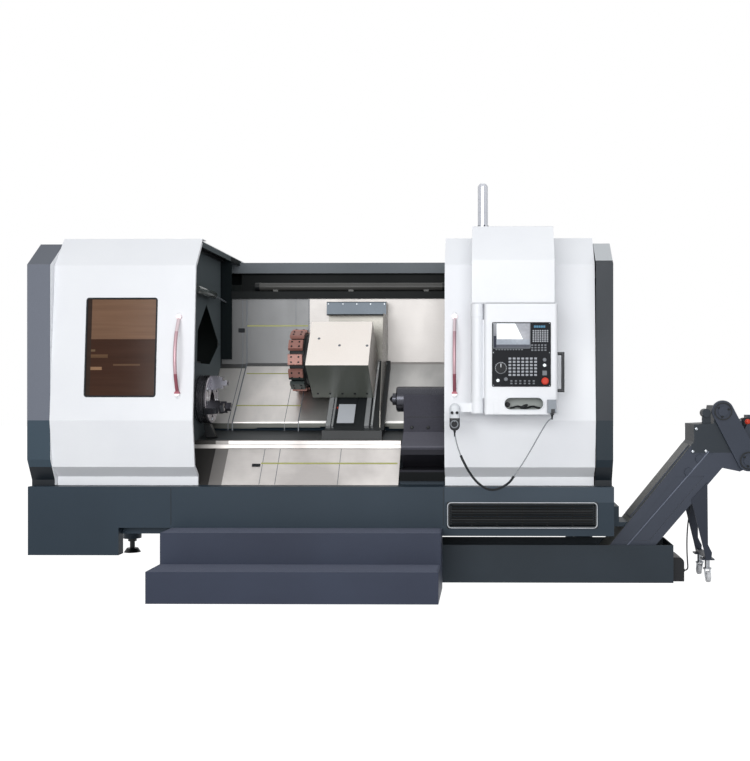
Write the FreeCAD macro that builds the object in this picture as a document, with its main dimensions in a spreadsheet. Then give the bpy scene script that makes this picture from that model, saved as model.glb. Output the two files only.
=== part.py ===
import FreeCAD, Part
import Sketcher
import math
import os

# A large slant-bed turning lathe: raised base, sliding front doors, telescopic
# stainless way covers, a turret on a 45 degree cross slide, tailstock, swivelling
# control box and a chip conveyor that climbs out at the right-hand end.
#
# Every piece is drawn in the machine's own axes: X runs to the right from the
# base's left end, Y runs back from the base's front face, Z runs up from the
# floor. Each piece's Placement then moves it to the middle of the outline.

doc = FreeCAD.newDocument("turning_lathe")
sheet = doc.addObject("Spreadsheet::Sheet", "Dims")

driving = {
    # overall outline, from which the frame's middle is worked out
    "outline_left": -5.0,
    "outline_right": 5268.0,
    "outline_back": 2064.5,
    # base
    "base_length": 4126.0,
    "base_top": 708.0,
    "base_depth": 1640.0,
    "base_frame_bottom": 365.0,
    "skirt_depth": 93.0,
    "skirt_bottom": 419.0,
    "skirt_foot_length": 641.0,
    "skirt_foot_bottom": 225.0,
    "skirt_right_start": 2900.0,
    "pedestal_diameter": 150.0,
    "pedestal_bottom": 120.0,
    "pad_diameter": 140.0,
    "pad_height": 35.0,
    "pad_screw": 42.0,
    # operator steps
    "steps_left": 1018.0,
    "steps_right": 2923.0,
    "lower_step_front": 546.0,
    "upper_step_front": 256.0,
    "lower_step_height": 208.0,
    "upper_step_height": 420.0,
    "steps_sheet": 4.0,
    # vent grille in the base
    "grille_left": 2956.0,
    "grille_right": 4010.0,
    "grille_low": 419.0,
    "grille_high": 604.0,
    "grille_rim": 17.0,
    "grille_stand_off": 12.0,
    "grille_slats": 9.0,
    # sheet-metal casing
    "casing_sheet": 4.0,
    "casing_high": 2446.0,
    "end_left_inner": 158.0,
    "end_right_inner": 4000.0,
    "end_right_outer": 4120.0,
    "end_foot_back": 76.0,
    "end_foot_high": 750.0,
    "end_front_low": 898.0,
    "end_front_high": 2273.0,
    "end_roof_front": 217.0,
    "end_roof_back": 1500.0,
    "end_rear_high": 2300.0,
    # sliding doors, same section on both sides
    "door_gap": 4.0,
    "left_door_right": 1170.0,
    "right_door_left": 2937.0,
    "door_foot_back": 115.0,
    "door_foot_high": 770.0,
    "door_lower_back": 28.0,
    "door_lower_high": 845.0,
    "door_crease_front": 20.0,
    "door_crease_high": 1175.0,
    "door_upper_back": 62.0,
    "door_upper_high": 2275.0,
    "door_roof_back": 230.0,
    "door_roof_high": 2487.0,
    "door_roof_lip": 100.0,
    "door_edge_fold": 20.0,
    "window_left": 404.0,
    "window_right": 900.0,
    "window_low": 1344.0,
    "window_high": 2037.0,
    "window_corner": 14.0,
    "window_glass": 8.0,
    "window_lap": 22.0,
    "handle_length": 541.0,
    "handle_stand_off": 95.0,
    "handle_bar": 24.0,
    "handle_middle": 1634.0,
    "handle_boss": 38.0,
    "left_handle_x": 1061.0,
    "right_handle_x": 3009.0,
    # fixed hoods over the two ends of the work space
    "hood_roof_high": 2478.0,
    "hood_front": 252.0,
    "hood_back": 1560.0,
    "partition_x": 1066.0,
    "hood_curb": 1154.0,
    "hood_curb_drop": 44.0,
    "partition_bore": 270.0,
    "tail_partition_x": 3800.0,
    # rear of the casing and the switch cabinet on it
    "cabinet_left": 420.0,
    "cabinet_right": 1800.0,
    "cabinet_low": 420.0,
    "cabinet_high": 2250.0,
    "cabinet_depth": 400.0,
    "cabinet_sheet": 6.0,
    "cabinet_door_thick": 24.0,
    # beam and lamp above the back of the work space
    "beam_front": 1390.0,
    "beam_low": 2368.0,
    "beam_high": 2458.0,
    "recess_back": 1450.0,
    "recess_climb": 25.0,
    "wiper_front": 1112.0,
    "wiper_low": 2131.0,
    "wiper_high": 2190.0,
    "lamp_left": 1318.0,
    "lamp_right": 2890.0,
    "lamp_diameter": 66.0,
    "lamp_back": 1300.0,
    "lamp_high": 2247.0,
    # spindle, chuck and headstock
    "axis_back": 480.0,
    "axis_high": 1320.0,
    "headstock_left": 330.0,
    "headstock_right": 1020.0,
    "spindle_diameter": 160.0,
    "spindle_bore": 104.0,
    "spindle_flange": 236.0,
    "running_fit": 0.05,
    "chuck_diameter": 360.0,
    "chuck_back": 1076.0,
    "chuck_face": 1172.0,
    "chuck_bore": 110.0,
    "jaw_width": 54.0,
    "jaw_inner": 68.0,
    "jaw_outer": 177.0,
    "jaw_length": 116.0,
    "jaw_seat": 26.0,
    # stainless splash apron, rail and ledge
    "apron_left": 1074.0,
    "apron_right": 2600.0,
    "apron_front": 140.0,
    "apron_back": 345.0,
    "apron_high": 958.0,
    "rail_low": 988.0,
    "rail_high": 1018.0,
    "rail_width": 34.0,
    "ledge_front_high": 1003.0,
    "ledge_back": 690.0,
    "ledge_back_high": 1078.0,
    "apron_sheet": 3.0,
    # telescopic way covers: 45 degree slope Z = Y + cover_rise
    "cover_front": 680.0,
    "cover_low": 1092.0,
    "cover_rise": 455.0,
    "cover_back": 1145.0,
    "cover_high": 2140.0,
    "cover_step": 8.0,
    "cover_sheet": 2.5,
    "wiper_width": 6.0,
    "left_cover_left": 1030.0,
    "left_cover_right": 1460.0,
    "mid_cover_left": 1271.0,
    "mid_cover_right": 1950.0,
    "carriage_cover_left": 1780.0,
    "carriage_cover_right": 2904.0,
    "right_cover_left": 2480.0,
    "right_cover_right": 3950.0,
    # slanted bed under the covers: slope Z = Y + bed_rise
    "bed_left": 1045.0,
    "bed_right": 3900.0,
    "bed_front": 450.0,
    "bed_front_high": 985.0,
    "bed_slope_start": 645.0,
    "bed_rise": 370.0,
    "bed_back": 1180.0,
    "bed_high": 1600.0,
    "way_rise": 50.0,
    "way_width": 60.0,
    "lower_way": 740.0,
    "upper_way": 1060.0,
    # saddle and cross slide: slide plane Z = Y + slide_rise
    "saddle_left": 2008.0,
    "saddle_right": 2454.0,
    "saddle_front": 400.0,
    "saddle_step_high": 1087.0,
    "saddle_top": 1075.0,
    "slide_rise": 550.0,
    "saddle_under_rise": 487.0,
    "neck_left": 2120.0,
    "neck_right": 2330.0,
    "neck_lower": 700.0,
    "neck_upper": 1030.0,
    "rail_strip_rise": 36.0,
    "rail_strip_wide": 34.0,
    "rail_strip_narrow": 14.0,
    "slide_gap": 0.8,
    "housing_left": 1885.0,
    "housing_right": 2353.0,
    "housing_nose_back": 400.0,
    "housing_nose_high": 1574.0,
    "housing_crown_back": 690.0,
    "housing_crown_high": 1920.0,
    "housing_foot_back": 740.0,
    "housing_heel_back": 1036.0,
    "turret_back": 779.0,
    "turret_left": 1722.0,
    "turret_right": 1843.0,
    "turret_radius": 212.0,
    "turret_flange_radius": 196.0,
    "turret_hub_radius": 150.0,
    "turret_stations": 12.0,
    "station_radius": 178.0,
    "station_width": 92.0,
    "tool_block_reach": 238.0,
    "guard_plate_x": 2421.0,
    "guard_sheet": 5.0,
    "guard_bar_left": 1948.0,
    "guard_bar_low": 1990.0,
    "guard_bar_high": 2097.0,
    "guard_bar_front": 1000.0,
    "guard_back": 1108.0,
    # bracket between base and conveyor
    "bracket_low": 400.0,
    "bracket_foot": 432.0,
    "bracket_high": 545.0,
    "bracket_reach": 66.0,
    # tailstock
    "tail_left": 2619.0,
    "tail_right": 3350.0,
    "tail_foot_left": 2608.0,
    "tail_foot_right": 3362.0,
    "tail_way_high": 738.0,
    "tail_foot_high": 815.0,
    "tail_front": 145.0,
    "tail_cheek_low": 925.0,
    "tail_cheek_high": 985.0,
    "tail_face": 370.0,
    "tail_shoulder_high": 1079.0,
    "tail_cradle_high": 1355.0,
    "tail_ring_left": 2950.0,
    "tail_ring_radius": 130.0,
    "tail_back": 620.0,
    "tail_under_high": 1055.0,
    "tail_foot_back": 438.0,
    "quill_left": 2559.0,
    "quill_right": 3200.0,
    "quill_diameter": 190.0,
    "quill_socket": 44.0,
    "center_diameter": 90.0,
    "center_length": 30.0,
    "center_cone": 22.0,
    # control arm, pivot and control box
    "arm_left": 3134.0,
    "arm_right": 3693.0,
    "arm_front": 250.0,
    "arm_low": 1972.0,
    "arm_chamfer_low": 2269.0,
    "arm_chamfer_front": 110.0,
    "arm_high": 2520.0,
    "arm_back": 520.0,
    "arm_sheet": 6.0,
    "pivot_x": 3170.0,
    "pivot_front": 205.0,
    "pivot_pin": 40.0,
    "knuckle_diameter": 88.0,
    "upper_knuckle_low": 1888.0,
    "lower_knuckle_low": 1231.0,
    "lower_knuckle_high": 1313.0,
    "box_left": 3218.0,
    "box_right": 3711.0,
    "box_low": 1225.0,
    "box_high": 1969.0,
    "box_front": 300.0,
    "box_back": 120.0,
    "box_edge": 22.0,
    "slot_left": 3351.0,
    "slot_right": 3618.0,
    "slot_low": 1254.0,
    "slot_high": 1340.0,
    "slot_depth": 90.0,
    "panel_left": 3270.0,
    "panel_right": 3665.0,
    "panel_low": 1411.0,
    "panel_high": 1844.0,
    "panel_thick": 5.0,
    "screen_left": 3282.0,
    "screen_right": 3482.0,
    "screen_low": 1668.0,
    "screen_high": 1832.0,
    "dial_x": 3329.6,
    "dial_z": 1537.0,
    "dial_radius": 33.0,
    "dial_stem": 8.0,
    "dial_height": 20.0,
    "estop_x": 3625.0,
    "estop_z": 1449.0,
    "estop_radius": 24.0,
    "estop_stem": 12.0,
    "estop_travel": 5.0,
    "power_x": 3622.6,
    "power_z": 1555.0,
    "cycle_x": 3310.0,
    "cycle_z": 1453.0,
    "button_radius": 11.0,
    "button_travel": 3.0,
    "switch_gap": 0.3,
    "switch_depth": 16.0,
    "side_handle_low": 1385.0,
    "side_handle_high": 1636.0,
    "side_handle_reach": 52.0,
    "side_handle_bar": 22.0,
    "connector_left": 3640.0,
    "connector_right": 3700.0,
    "connector_low": 1236.0,
    "connector_high": 1325.0,
    "connector_reach": 34.0,
    "connector_gland": 26.0,
    "connector_x": 3672.0,
    "connector_tip": 1222.0,
    # hand-wheel pendant and its holder
    "pendant_x": 3018.0,
    "pendant_width": 72.0,
    "pendant_low": 1122.0,
    "pendant_high": 1300.0,
    "pendant_front": 276.0,
    "pendant_back": 226.0,
    "wheel_z": 1160.0,
    "wheel_radius": 33.0,
    "knob_z": 1236.0,
    "knob_radius": 10.0,
    "knob_spread": 17.0,
    "cable_diameter": 8.0,
    "sleeve_diameter": 18.0,
    # signal lamp on the control arm
    "signal_x": 3205.0,
    "signal_back": 250.0,
    "signal_radius": 37.0,
    "signal_base": 50.0,
    "signal_height": 371.0,
    # chip tray and conveyor
    "tray_left": 950.0,
    "tray_right": 4577.0,
    "tray_front": 200.0,
    "tray_back": 600.0,
    "tray_high": 272.0,
    "tray_sheet": 5.0,
    "tray_foot_reach": 89.0,
    "tray_foot_high": 174.0,
    "conveyor_front": 230.0,
    "conveyor_back": 570.0,
    "conveyor_left": 1000.0,
    "conveyor_deck": 200.0,
    "conveyor_sheet": 10.0,
    "belt_high": 130.0,
    "incline_top_x": 4731.0,
    "incline_top_z": 1016.0,
    "incline_start": 4066.0,
    "incline_under_start": 4229.0,
    "incline_under_x": 4934.0,
    "incline_under_z": 826.0,
    "guard_top_x": 4933.0,
    "guard_top_z": 1236.0,
    "guard_low_x": 5117.0,
    "guard_low_z": 881.0,
    "guard_radius": 78.0,
    "guard_thick": 26.0,
    "guard_boss": 36.0,
    "motor_x": 5190.0,
    "motor_z": 1085.0,
    "motor_radius": 78.0,
    "motor_front": 300.0,
    "motor_back": 540.0,
    "leg_plate": 8.0,
    "leg_foot_z": 168.0,
    "caster_x": 4834.0,
    "caster_inset": 46.0,
    "caster_wheel": 40.0,
    "caster_width": 30.0,
    "caster_trail": 26.0,
    "caster_axle": 10.0,
    "caster_stem": 10.0,
    # power cable between conveyor and tray
    "conveyor_cable": 10.0,
    "cable_exit_x": 4716.0,
    "cable_exit_z": 556.0,
    "cable_gland_z": 75.0,
}

for row, (name, value) in enumerate(driving.items(), 1):
    sheet.set(f"A{row}", name)
    sheet.set(f"B{row}", str(value))
    sheet.setAlias(f"B{row}", name)


class Size:
    """A value together with the sheet formula that gives it."""

    def __init__(self, value, text):
        self.value = value
        self.text = text

    def __add__(self, other):
        other = size(other)
        return Size(self.value + other.value, f"({self.text} + {other.text})")

    def __sub__(self, other):
        other = size(other)
        return Size(self.value - other.value, f"({self.text} - {other.text})")

    def __mul__(self, other):
        other = size(other)
        return Size(self.value * other.value, f"{self.text} * {other.text}")

    def __truediv__(self, other):
        other = size(other)
        return Size(self.value / other.value, f"{self.text} / {other.text}")

    def __neg__(self):
        return Size(-self.value, f"(0 - {self.text})")

    def __radd__(self, other):
        return size(other) + self

    def __rsub__(self, other):
        return size(other) - self

    def __rmul__(self, other):
        return size(other) * self


def size(value):
    return value if isinstance(value, Size) else Size(float(value), f"{float(value):.6f}")


class Dimensions:
    pass


d = Dimensions()
for name, value in driving.items():
    setattr(d, name, Size(value, f"Dims.{name}"))

middle_x = (d.outline_left + d.outline_right) / 2
middle_y = (d.outline_back - d.lower_step_front) / 2
nodes = {}


# ---------------------------------------------------------------- helpers

def place(thing, x=0, y=0, z=0, axis=None, angle=None):
    """Moves a piece from the machine's axes to the middle of its outline."""
    if axis is not None:
        thing.Placement = FreeCAD.Placement(FreeCAD.Vector(), FreeCAD.Rotation(axis, angle))
    for letter, value in zip("xyz", (size(x) - middle_x, size(y) - middle_y, size(z))):
        thing.setExpression(f"Placement.Base.{letter}", value.text)


def keep(name, thing):
    thing.Label = name
    nodes[name] = thing
    return thing


def new_body(name):
    body = doc.addObject("PartDesign::Body", name)
    place(body)
    return keep(name, body)


def flat_sketch(body, axis, level):
    """An empty sketch across the axis, at the level along it."""
    role = {"x": "YZ_Plane", "y": "XZ_Plane", "z": "XY_Plane"}[axis]
    plane = next(f for f in body.Origin.OriginFeatures if f.Role == role)
    sketch = body.newObject("Sketcher::SketchObject", body.Name + "_sketch")
    sketch.AttachmentSupport = [(plane, "")]
    sketch.MapMode = "FlatFace"
    # the XZ plane's normal points to the front, so its offset changes sign
    level = -size(level) if axis == "y" else size(level)
    sketch.setExpression("AttachmentOffset.Base.z", level.text)
    return sketch


def pin_point(sketch, edge, end, u, v):
    """Fixes one end of an edge at sheet-driven coordinates."""
    for kind, value in (("DistanceX", size(u)), ("DistanceY", size(v))):
        at = sketch.addConstraint(Sketcher.Constraint(kind, -1, 1, edge, end, value.value))
        sketch.setExpression(f"Constraints[{at}]", value.text)


def draw_outline(sketch, points):
    points = [(size(u), size(v)) for u, v in points]
    corners = [FreeCAD.Vector(u.value, v.value, 0) for u, v in points]
    first = sketch.GeometryCount
    count = len(points)
    for i in range(count):
        sketch.addGeometry(Part.LineSegment(corners[i], corners[(i + 1) % count]), False)
    for i in range(count):
        following = first + (i + 1) % count
        sketch.addConstraint(Sketcher.Constraint("Coincident", first + i, 2, following, 1))
    for i, (u, v) in enumerate(points):
        pin_point(sketch, first + i, 1, u, v)


def draw_circle(sketch, u, v, radius):
    u, v, radius = size(u), size(v), size(radius)
    middle = FreeCAD.Vector(u.value, v.value, 0)
    edge = sketch.addGeometry(Part.Circle(middle, FreeCAD.Vector(0, 0, 1), radius.value), False)
    pin_point(sketch, edge, 3, u, v)
    at = sketch.addConstraint(Sketcher.Constraint("Radius", edge, radius.value))
    sketch.setExpression(f"Constraints[{at}]", radius.text)


def add(body, axis, low, high, points=None, circle=None):
    """Pads an outline or a circle from low to high along the axis."""
    sketch = flat_sketch(body, axis, high if axis == "y" else low)
    if points:
        draw_outline(sketch, points)
    if circle:
        draw_circle(sketch, *circle)
    pad = body.newObject("PartDesign::Pad", body.Name + "_pad")
    pad.Profile = sketch
    pad.setExpression("Length", (size(high) - size(low)).text)
    return pad


def cut(body, axis, low, high, points=None, circle=None):
    """Pockets an outline or a circle from low to high along the axis."""
    sketch = flat_sketch(body, axis, low if axis == "y" else high)
    if points:
        draw_outline(sketch, points)
    if circle:
        draw_circle(sketch, *circle)
    pocket = body.newObject("PartDesign::Pocket", body.Name + "_pocket")
    pocket.Profile = sketch
    pocket.setExpression("Length", (size(high) - size(low)).text)
    return pocket


def rectangle(u0, v0, u1, v1):
    return [(u0, v0), (u1, v0), (u1, v1), (u0, v1)]


def turn(body, points):
    """Revolves points of (distance along X, radius) about the body's own X axis."""
    sketch = flat_sketch(body, "y", 0)
    draw_outline(sketch, points)
    turned = body.newObject("PartDesign::Revolution", body.Name + "_turned")
    turned.Profile = sketch
    turned.ReferenceAxis = (sketch, ["H_Axis"])
    turned.Angle = 360
    return turned


def fillet(body, chosen, radius, kind="Fillet"):
    """Rounds or bevels the edges of the body's last feature that chosen() picks."""
    doc.recompute()
    last = body.Tip
    names = [f"Edge{i}" for i, edge in enumerate(last.Shape.Edges, 1) if chosen(edge)]
    if not names:
        raise ValueError(f"{body.Label}: no edge to round")
    feature = body.newObject("PartDesign::" + kind, body.Name + "_" + kind.lower())
    feature.Base = (last, names)
    feature.setExpression("Radius" if kind == "Fillet" else "Size", size(radius).text)
    return feature


def runs_along(edge, letter):
    """True for a straight edge parallel to an axis."""
    if not isinstance(edge.Curve, (Part.Line, Part.LineSegment)) or len(edge.Vertexes) < 2:
        return False
    step = edge.Vertexes[1].Point - edge.Vertexes[0].Point
    return abs(getattr(step, letter)) > 0.999 * step.Length


def repeat_around(body, feature, count, axis_role):
    pattern = body.newObject("PartDesign::PolarPattern", body.Name + "_pattern")
    pattern.Originals = [feature]
    axis = next(f for f in body.Origin.OriginFeatures if f.Role == axis_role)
    pattern.Axis = (axis, [""])
    pattern.Angle = 360
    pattern.setExpression("Occurrences", size(count).text)
    body.Tip = pattern
    return pattern


def repeat_along(body, feature, axis_role, length, count):
    pattern = body.newObject("PartDesign::LinearPattern", body.Name + "_pattern")
    pattern.Originals = [feature]
    axis = next(f for f in body.Origin.OriginFeatures if f.Role == axis_role)
    pattern.Direction = (axis, [""])
    pattern.setExpression("Length", size(length).text)
    pattern.setExpression("Occurrences", size(count).text)
    body.Tip = pattern
    return pattern


def cylinder(name, x, y, z, radius, length, towards, cone=None):
    """A primitive cylinder, or a cone down to a second radius, from a point along an axis."""
    kind = "Part::Cone" if cone is not None else "Part::Cylinder"
    thing = doc.addObject(kind, name)
    turn_to = {
        "x": FreeCAD.Rotation(FreeCAD.Vector(0, 1, 0), 90),
        "y": FreeCAD.Rotation(FreeCAD.Vector(1, 0, 0), -90),
        "-y": FreeCAD.Rotation(FreeCAD.Vector(1, 0, 0), 90),
        "z": FreeCAD.Rotation(),
    }[towards]
    thing.Placement = FreeCAD.Placement(FreeCAD.Vector(), turn_to)
    for letter, value in zip("xyz", (x, y, z)):
        thing.setExpression(f"Placement.Base.{letter}", size(value).text)
    if cone is None:
        thing.setExpression("Radius", size(radius).text)
    else:
        thing.setExpression("Radius1", size(radius).text)
        thing.setExpression("Radius2", size(cone).text)
    thing.setExpression("Height", size(length).text)
    return thing


def block(name, x0, y0, z0, x1, y1, z1):
    thing = doc.addObject("Part::Box", name)
    for letter, value in zip("xyz", (x0, y0, z0)):
        thing.setExpression(f"Placement.Base.{letter}", size(value).text)
    for side, low, high in (("Length", x0, x1), ("Width", y0, y1), ("Height", z0, z1)):
        thing.setExpression(side, (size(high) - size(low)).text)
    return thing


def fuse(name, parts):
    thing = doc.addObject("Part::MultiFuse", name)
    thing.Shapes = parts
    return thing


def subtract(name, base, tool):
    thing = doc.addObject("Part::Cut", name)
    thing.Base = base
    thing.Tool = tool
    return thing


def separate(name, parts):
    """A node of several solids that don't touch."""
    thing = doc.addObject("Part::Compound", name)
    thing.Links = parts
    return thing


def slope_strip(low_y, high_y, rise, thickness_rise):
    """A bar's section on the 45 degree plane Z = Y + rise, its ends square to the plane."""
    step = size(thickness_rise) / 2
    return [
        (low_y, size(low_y) + rise),
        (high_y, size(high_y) + rise),
        (size(high_y) - step, size(high_y) + rise + step),
        (size(low_y) - step, size(low_y) + rise + step),
    ]


# ---------------------------------------------------------------- base and steps

def make_base():
    body = new_body("base_frame")
    # front skirt with its low foot at the left and the notch beside it
    add(body, "y", 0, d.skirt_depth, [
        (0, d.skirt_foot_bottom),
        (d.skirt_foot_length, d.skirt_foot_bottom),
        (d.skirt_foot_length, d.skirt_bottom),
        (d.skirt_right_start, d.skirt_bottom),
        (d.skirt_right_start, d.base_frame_bottom),
        (d.base_length, d.base_frame_bottom),
        (d.base_length, d.base_top),
        (0, d.base_top),
    ])
    # the frame behind the skirt
    add(body, "y", d.skirt_depth, d.base_depth,
        rectangle(0, d.base_frame_bottom, d.base_length, d.base_top))
    # slanted bed with its two ways
    add(body, "x", d.bed_left, d.bed_right, [
        (d.bed_front, d.base_top - 1),
        (d.bed_front, d.bed_front_high),
        (d.bed_slope_start, d.bed_slope_start + d.bed_rise),
        (d.bed_back, d.bed_back + d.bed_rise),
        (d.bed_back, d.bed_high),
        (d.base_depth - 60, d.bed_high),
        (d.base_depth - 60, d.base_top - 1),
    ])
    for low in (d.lower_way, d.upper_way):
        add(body, "x", d.bed_left, d.bed_right,
            slope_strip(low, low + d.way_width, d.bed_rise, d.way_rise))
    # ribs that carry the fixed way covers at both ends of the bed
    for left in (d.bed_left + 1, d.bed_right - 20):
        add(body, "x", left, left + 10, slope_strip(
            d.lower_way + 90, d.upper_way - 60, d.bed_rise,
            d.cover_rise - d.cover_sheet * 1.41421 - d.bed_rise))
    # bracket at the right end that rests on the conveyor's incline
    add(body, "y", d.conveyor_front + 20, d.conveyor_back - 20, [
        (d.base_length - 1, d.bracket_low),
        (incline_x(d.bracket_low), d.bracket_low),
        (incline_x(d.bracket_foot), d.bracket_foot),
        (d.base_length + d.bracket_reach, d.bracket_foot),
        (d.base_length + d.bracket_reach, d.bracket_high),
        (d.base_length - 1, d.bracket_high),
    ])
    # ways for the tailstock along the front of the bed
    for low in (d.tail_front + 45, d.tail_foot_back - 78):
        high = low + 60
        add(body, "x", d.tail_foot_left - 4, d.bed_right,
            rectangle(low, d.base_top - 1, high, d.tail_way_high))
    # recess behind the grille
    cut(body, "y", 0, d.skirt_depth - 30,
        rectangle(d.grille_left + d.grille_rim, d.grille_low + d.grille_rim,
                  d.grille_right - d.grille_rim, d.grille_high - d.grille_rim))
    # cored cells in the frame's underside, between its ribs, and the core through the bed
    bay = (d.base_length - 60) / 5
    for front, back in ((d.skirt_depth + 40, d.tray_back + 30), (d.tray_back + 90, d.base_depth - 200)):
        cell = cut(body, "z", d.base_frame_bottom, d.base_top - 45,
                   rectangle(60, front, bay, back))
        repeat_along(body, cell, "X_Axis", bay * 4, 5)
    cut(body, "x", d.bed_left + 60, d.bed_right, [
        (d.bed_front + 60, d.base_top + 40),
        (d.bed_front + 60, d.bed_front_high - 60),
        (d.bed_slope_start + 50, d.bed_front_high - 40),
        (d.bed_back - 30, d.bed_back - 70 + d.bed_rise - 60),
        (d.base_depth - 120, d.bed_high - 60),
        (d.base_depth - 120, d.base_top + 40),
    ])
    for x, y in pedestals():
        add(body, "z", d.pedestal_bottom, d.base_top - 44,
            circle=(x, y, d.pedestal_diameter / 2))


def incline_x(z):
    """Where the conveyor's incline reaches a height on its upper side."""
    run = (d.incline_top_x - d.incline_start) / (d.incline_top_z - d.conveyor_deck)
    return d.incline_start + (size(z) - d.conveyor_deck) * run


def pedestals():
    """Where the base stands on its levelling mounts."""
    front = d.tray_front - d.pedestal_diameter / 2 - 22
    rear = d.base_depth - d.pedestal_diameter / 2 - 20
    return [
        (d.steps_left + 200, front),
        (d.steps_right - 180, front),
        (size(190), rear),
        (d.base_length * 0.34, rear),
        (d.base_length * 0.66, rear),
        (d.base_length - 150, rear),
        (d.base_length - 150, d.tray_back + d.pedestal_diameter),
    ]


def make_leveling_mounts():
    mounts = []
    for number, (x, y) in enumerate(pedestals(), 1):
        pad = cylinder(f"mount_pad_{number}", x, y, 0, d.pad_diameter / 2, d.pad_height, "z",
                       cone=d.pad_diameter / 3)
        screw = cylinder(f"mount_screw_{number}", x, y, d.pad_height - 1, d.pad_screw / 2,
                         d.pedestal_bottom - d.pad_height + 1, "z")
        nut = cylinder(f"mount_nut_{number}", x, y, d.pedestal_bottom - 26, d.pad_screw * 0.85, 26, "z")
        mounts.append(fuse(f"mount_{number}", [pad, screw, nut]))
    group = separate("leveling_mounts", mounts)
    place(group)
    keep("leveling_mounts", group)


def make_steps():
    body = new_body("operator_steps")
    skin = d.steps_sheet
    back = size(-0.5)
    outer = [
        (-d.lower_step_front, 0),
        (-d.lower_step_front, d.lower_step_height),
        (-d.upper_step_front, d.lower_step_height),
        (-d.upper_step_front, d.upper_step_height),
        (back, d.upper_step_height),
        (back, 0),
    ]
    inner = [
        (-d.lower_step_front + skin, 0),
        (-d.lower_step_front + skin, d.lower_step_height - skin),
        (-d.upper_step_front + skin, d.lower_step_height - skin),
        (-d.upper_step_front + skin, d.upper_step_height - skin),
        (back - skin, d.upper_step_height - skin),
        (back - skin, 0),
    ]
    add(body, "x", d.steps_left, d.steps_right, outer)
    # three bays open underneath, with a web between them
    bay = (d.steps_right - d.steps_left - skin * 4) / 3
    hollow = cut(body, "x", d.steps_left + skin, d.steps_left + skin + bay, inner)
    repeat_along(body, hollow, "X_Axis", (bay + skin) * 2, 3)


def make_grille():
    body = new_body("vent_grille")
    front = -d.grille_stand_off
    rim = d.grille_rim
    add(body, "y", front, 0, rectangle(d.grille_left, d.grille_low, d.grille_right, d.grille_high))
    fillet(body, lambda e: runs_along(e, "y"), 12)
    cut(body, "y", front, 0, rectangle(d.grille_left + rim, d.grille_low + rim,
                                       d.grille_right - rim, d.grille_high - rim))
    pitch = (d.grille_high - d.grille_low - rim * 2) / (d.grille_slats + 1)
    low = d.grille_low + rim + pitch
    slat = add(body, "y", front + 3, front + 8,
               rectangle(d.grille_left + 4, low - 3, d.grille_right - 4, low + 3))
    repeat_along(body, slat, "Z_Axis", pitch * (d.grille_slats - 1), d.grille_slats)
    stile = add(body, "y", front + 3, front + 8,
                rectangle(d.grille_left + 172, d.grille_low + 4, d.grille_left + 178, d.grille_high - 4))
    repeat_along(body, stile, "X_Axis", d.grille_right - d.grille_left - 350, 5)


# ---------------------------------------------------------------- casing

def end_section(inset):
    """The end cover's outline, drawn in by the sheet where inset is its thickness."""
    slant = size(inset) * 0.41
    return [
        (d.end_foot_back + inset, d.base_top + inset),
        (d.end_foot_back + inset, d.end_foot_high + slant * 0.6),
        (size(0) + inset, d.end_front_low + slant * 0.6),
        (size(0) + inset, d.end_front_high - slant * 0.5),
        (d.end_roof_front + slant, d.casing_high - inset),
        (d.end_roof_back - slant, d.casing_high - inset),
        (d.base_depth - inset, d.end_rear_high - slant),
        (d.base_depth - inset, d.base_top + inset),
    ]


def make_end_covers():
    sheet_t = d.casing_sheet
    shells = []
    left = ("left", d.outline_left, d.end_left_inner, d.outline_left + sheet_t)
    right = ("right", d.end_right_outer, d.end_right_inner, d.end_right_outer - sheet_t)
    for side, outer, inner, far in (left, right):
        body = doc.addObject("PartDesign::Body", side + "_end_cover")
        low, high = (outer, inner) if side == "left" else (inner, outer)
        add(body, "x", low, high, end_section(size(0)))
        low, high = (far, inner) if side == "left" else (inner, far)
        cut(body, "x", low, high, end_section(sheet_t))
        # louvres that let the drive compartment breathe
        edge = (outer, far) if side == "left" else (far, outer)
        louvre = cut(body, "x", edge[0], edge[1], rectangle(500, 960, 900, 974))
        repeat_along(body, louvre, "Z_Axis", 8 * 34, 9)
        shells.append(body)
    group = separate("end_covers", shells)
    place(group)
    keep("end_covers", group)


def curb_section():
    """The turned-down edge of a hood's roof, let out over the beam."""
    top = d.hood_roof_high - d.casing_sheet / 2
    low = d.hood_roof_high - d.hood_curb_drop
    return [
        (d.hood_front, low),
        (d.beam_front, low),
        (d.beam_front, d.beam_high),
        (d.hood_back, d.beam_high),
        (d.hood_back, top),
        (d.hood_front, top),
    ]


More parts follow.
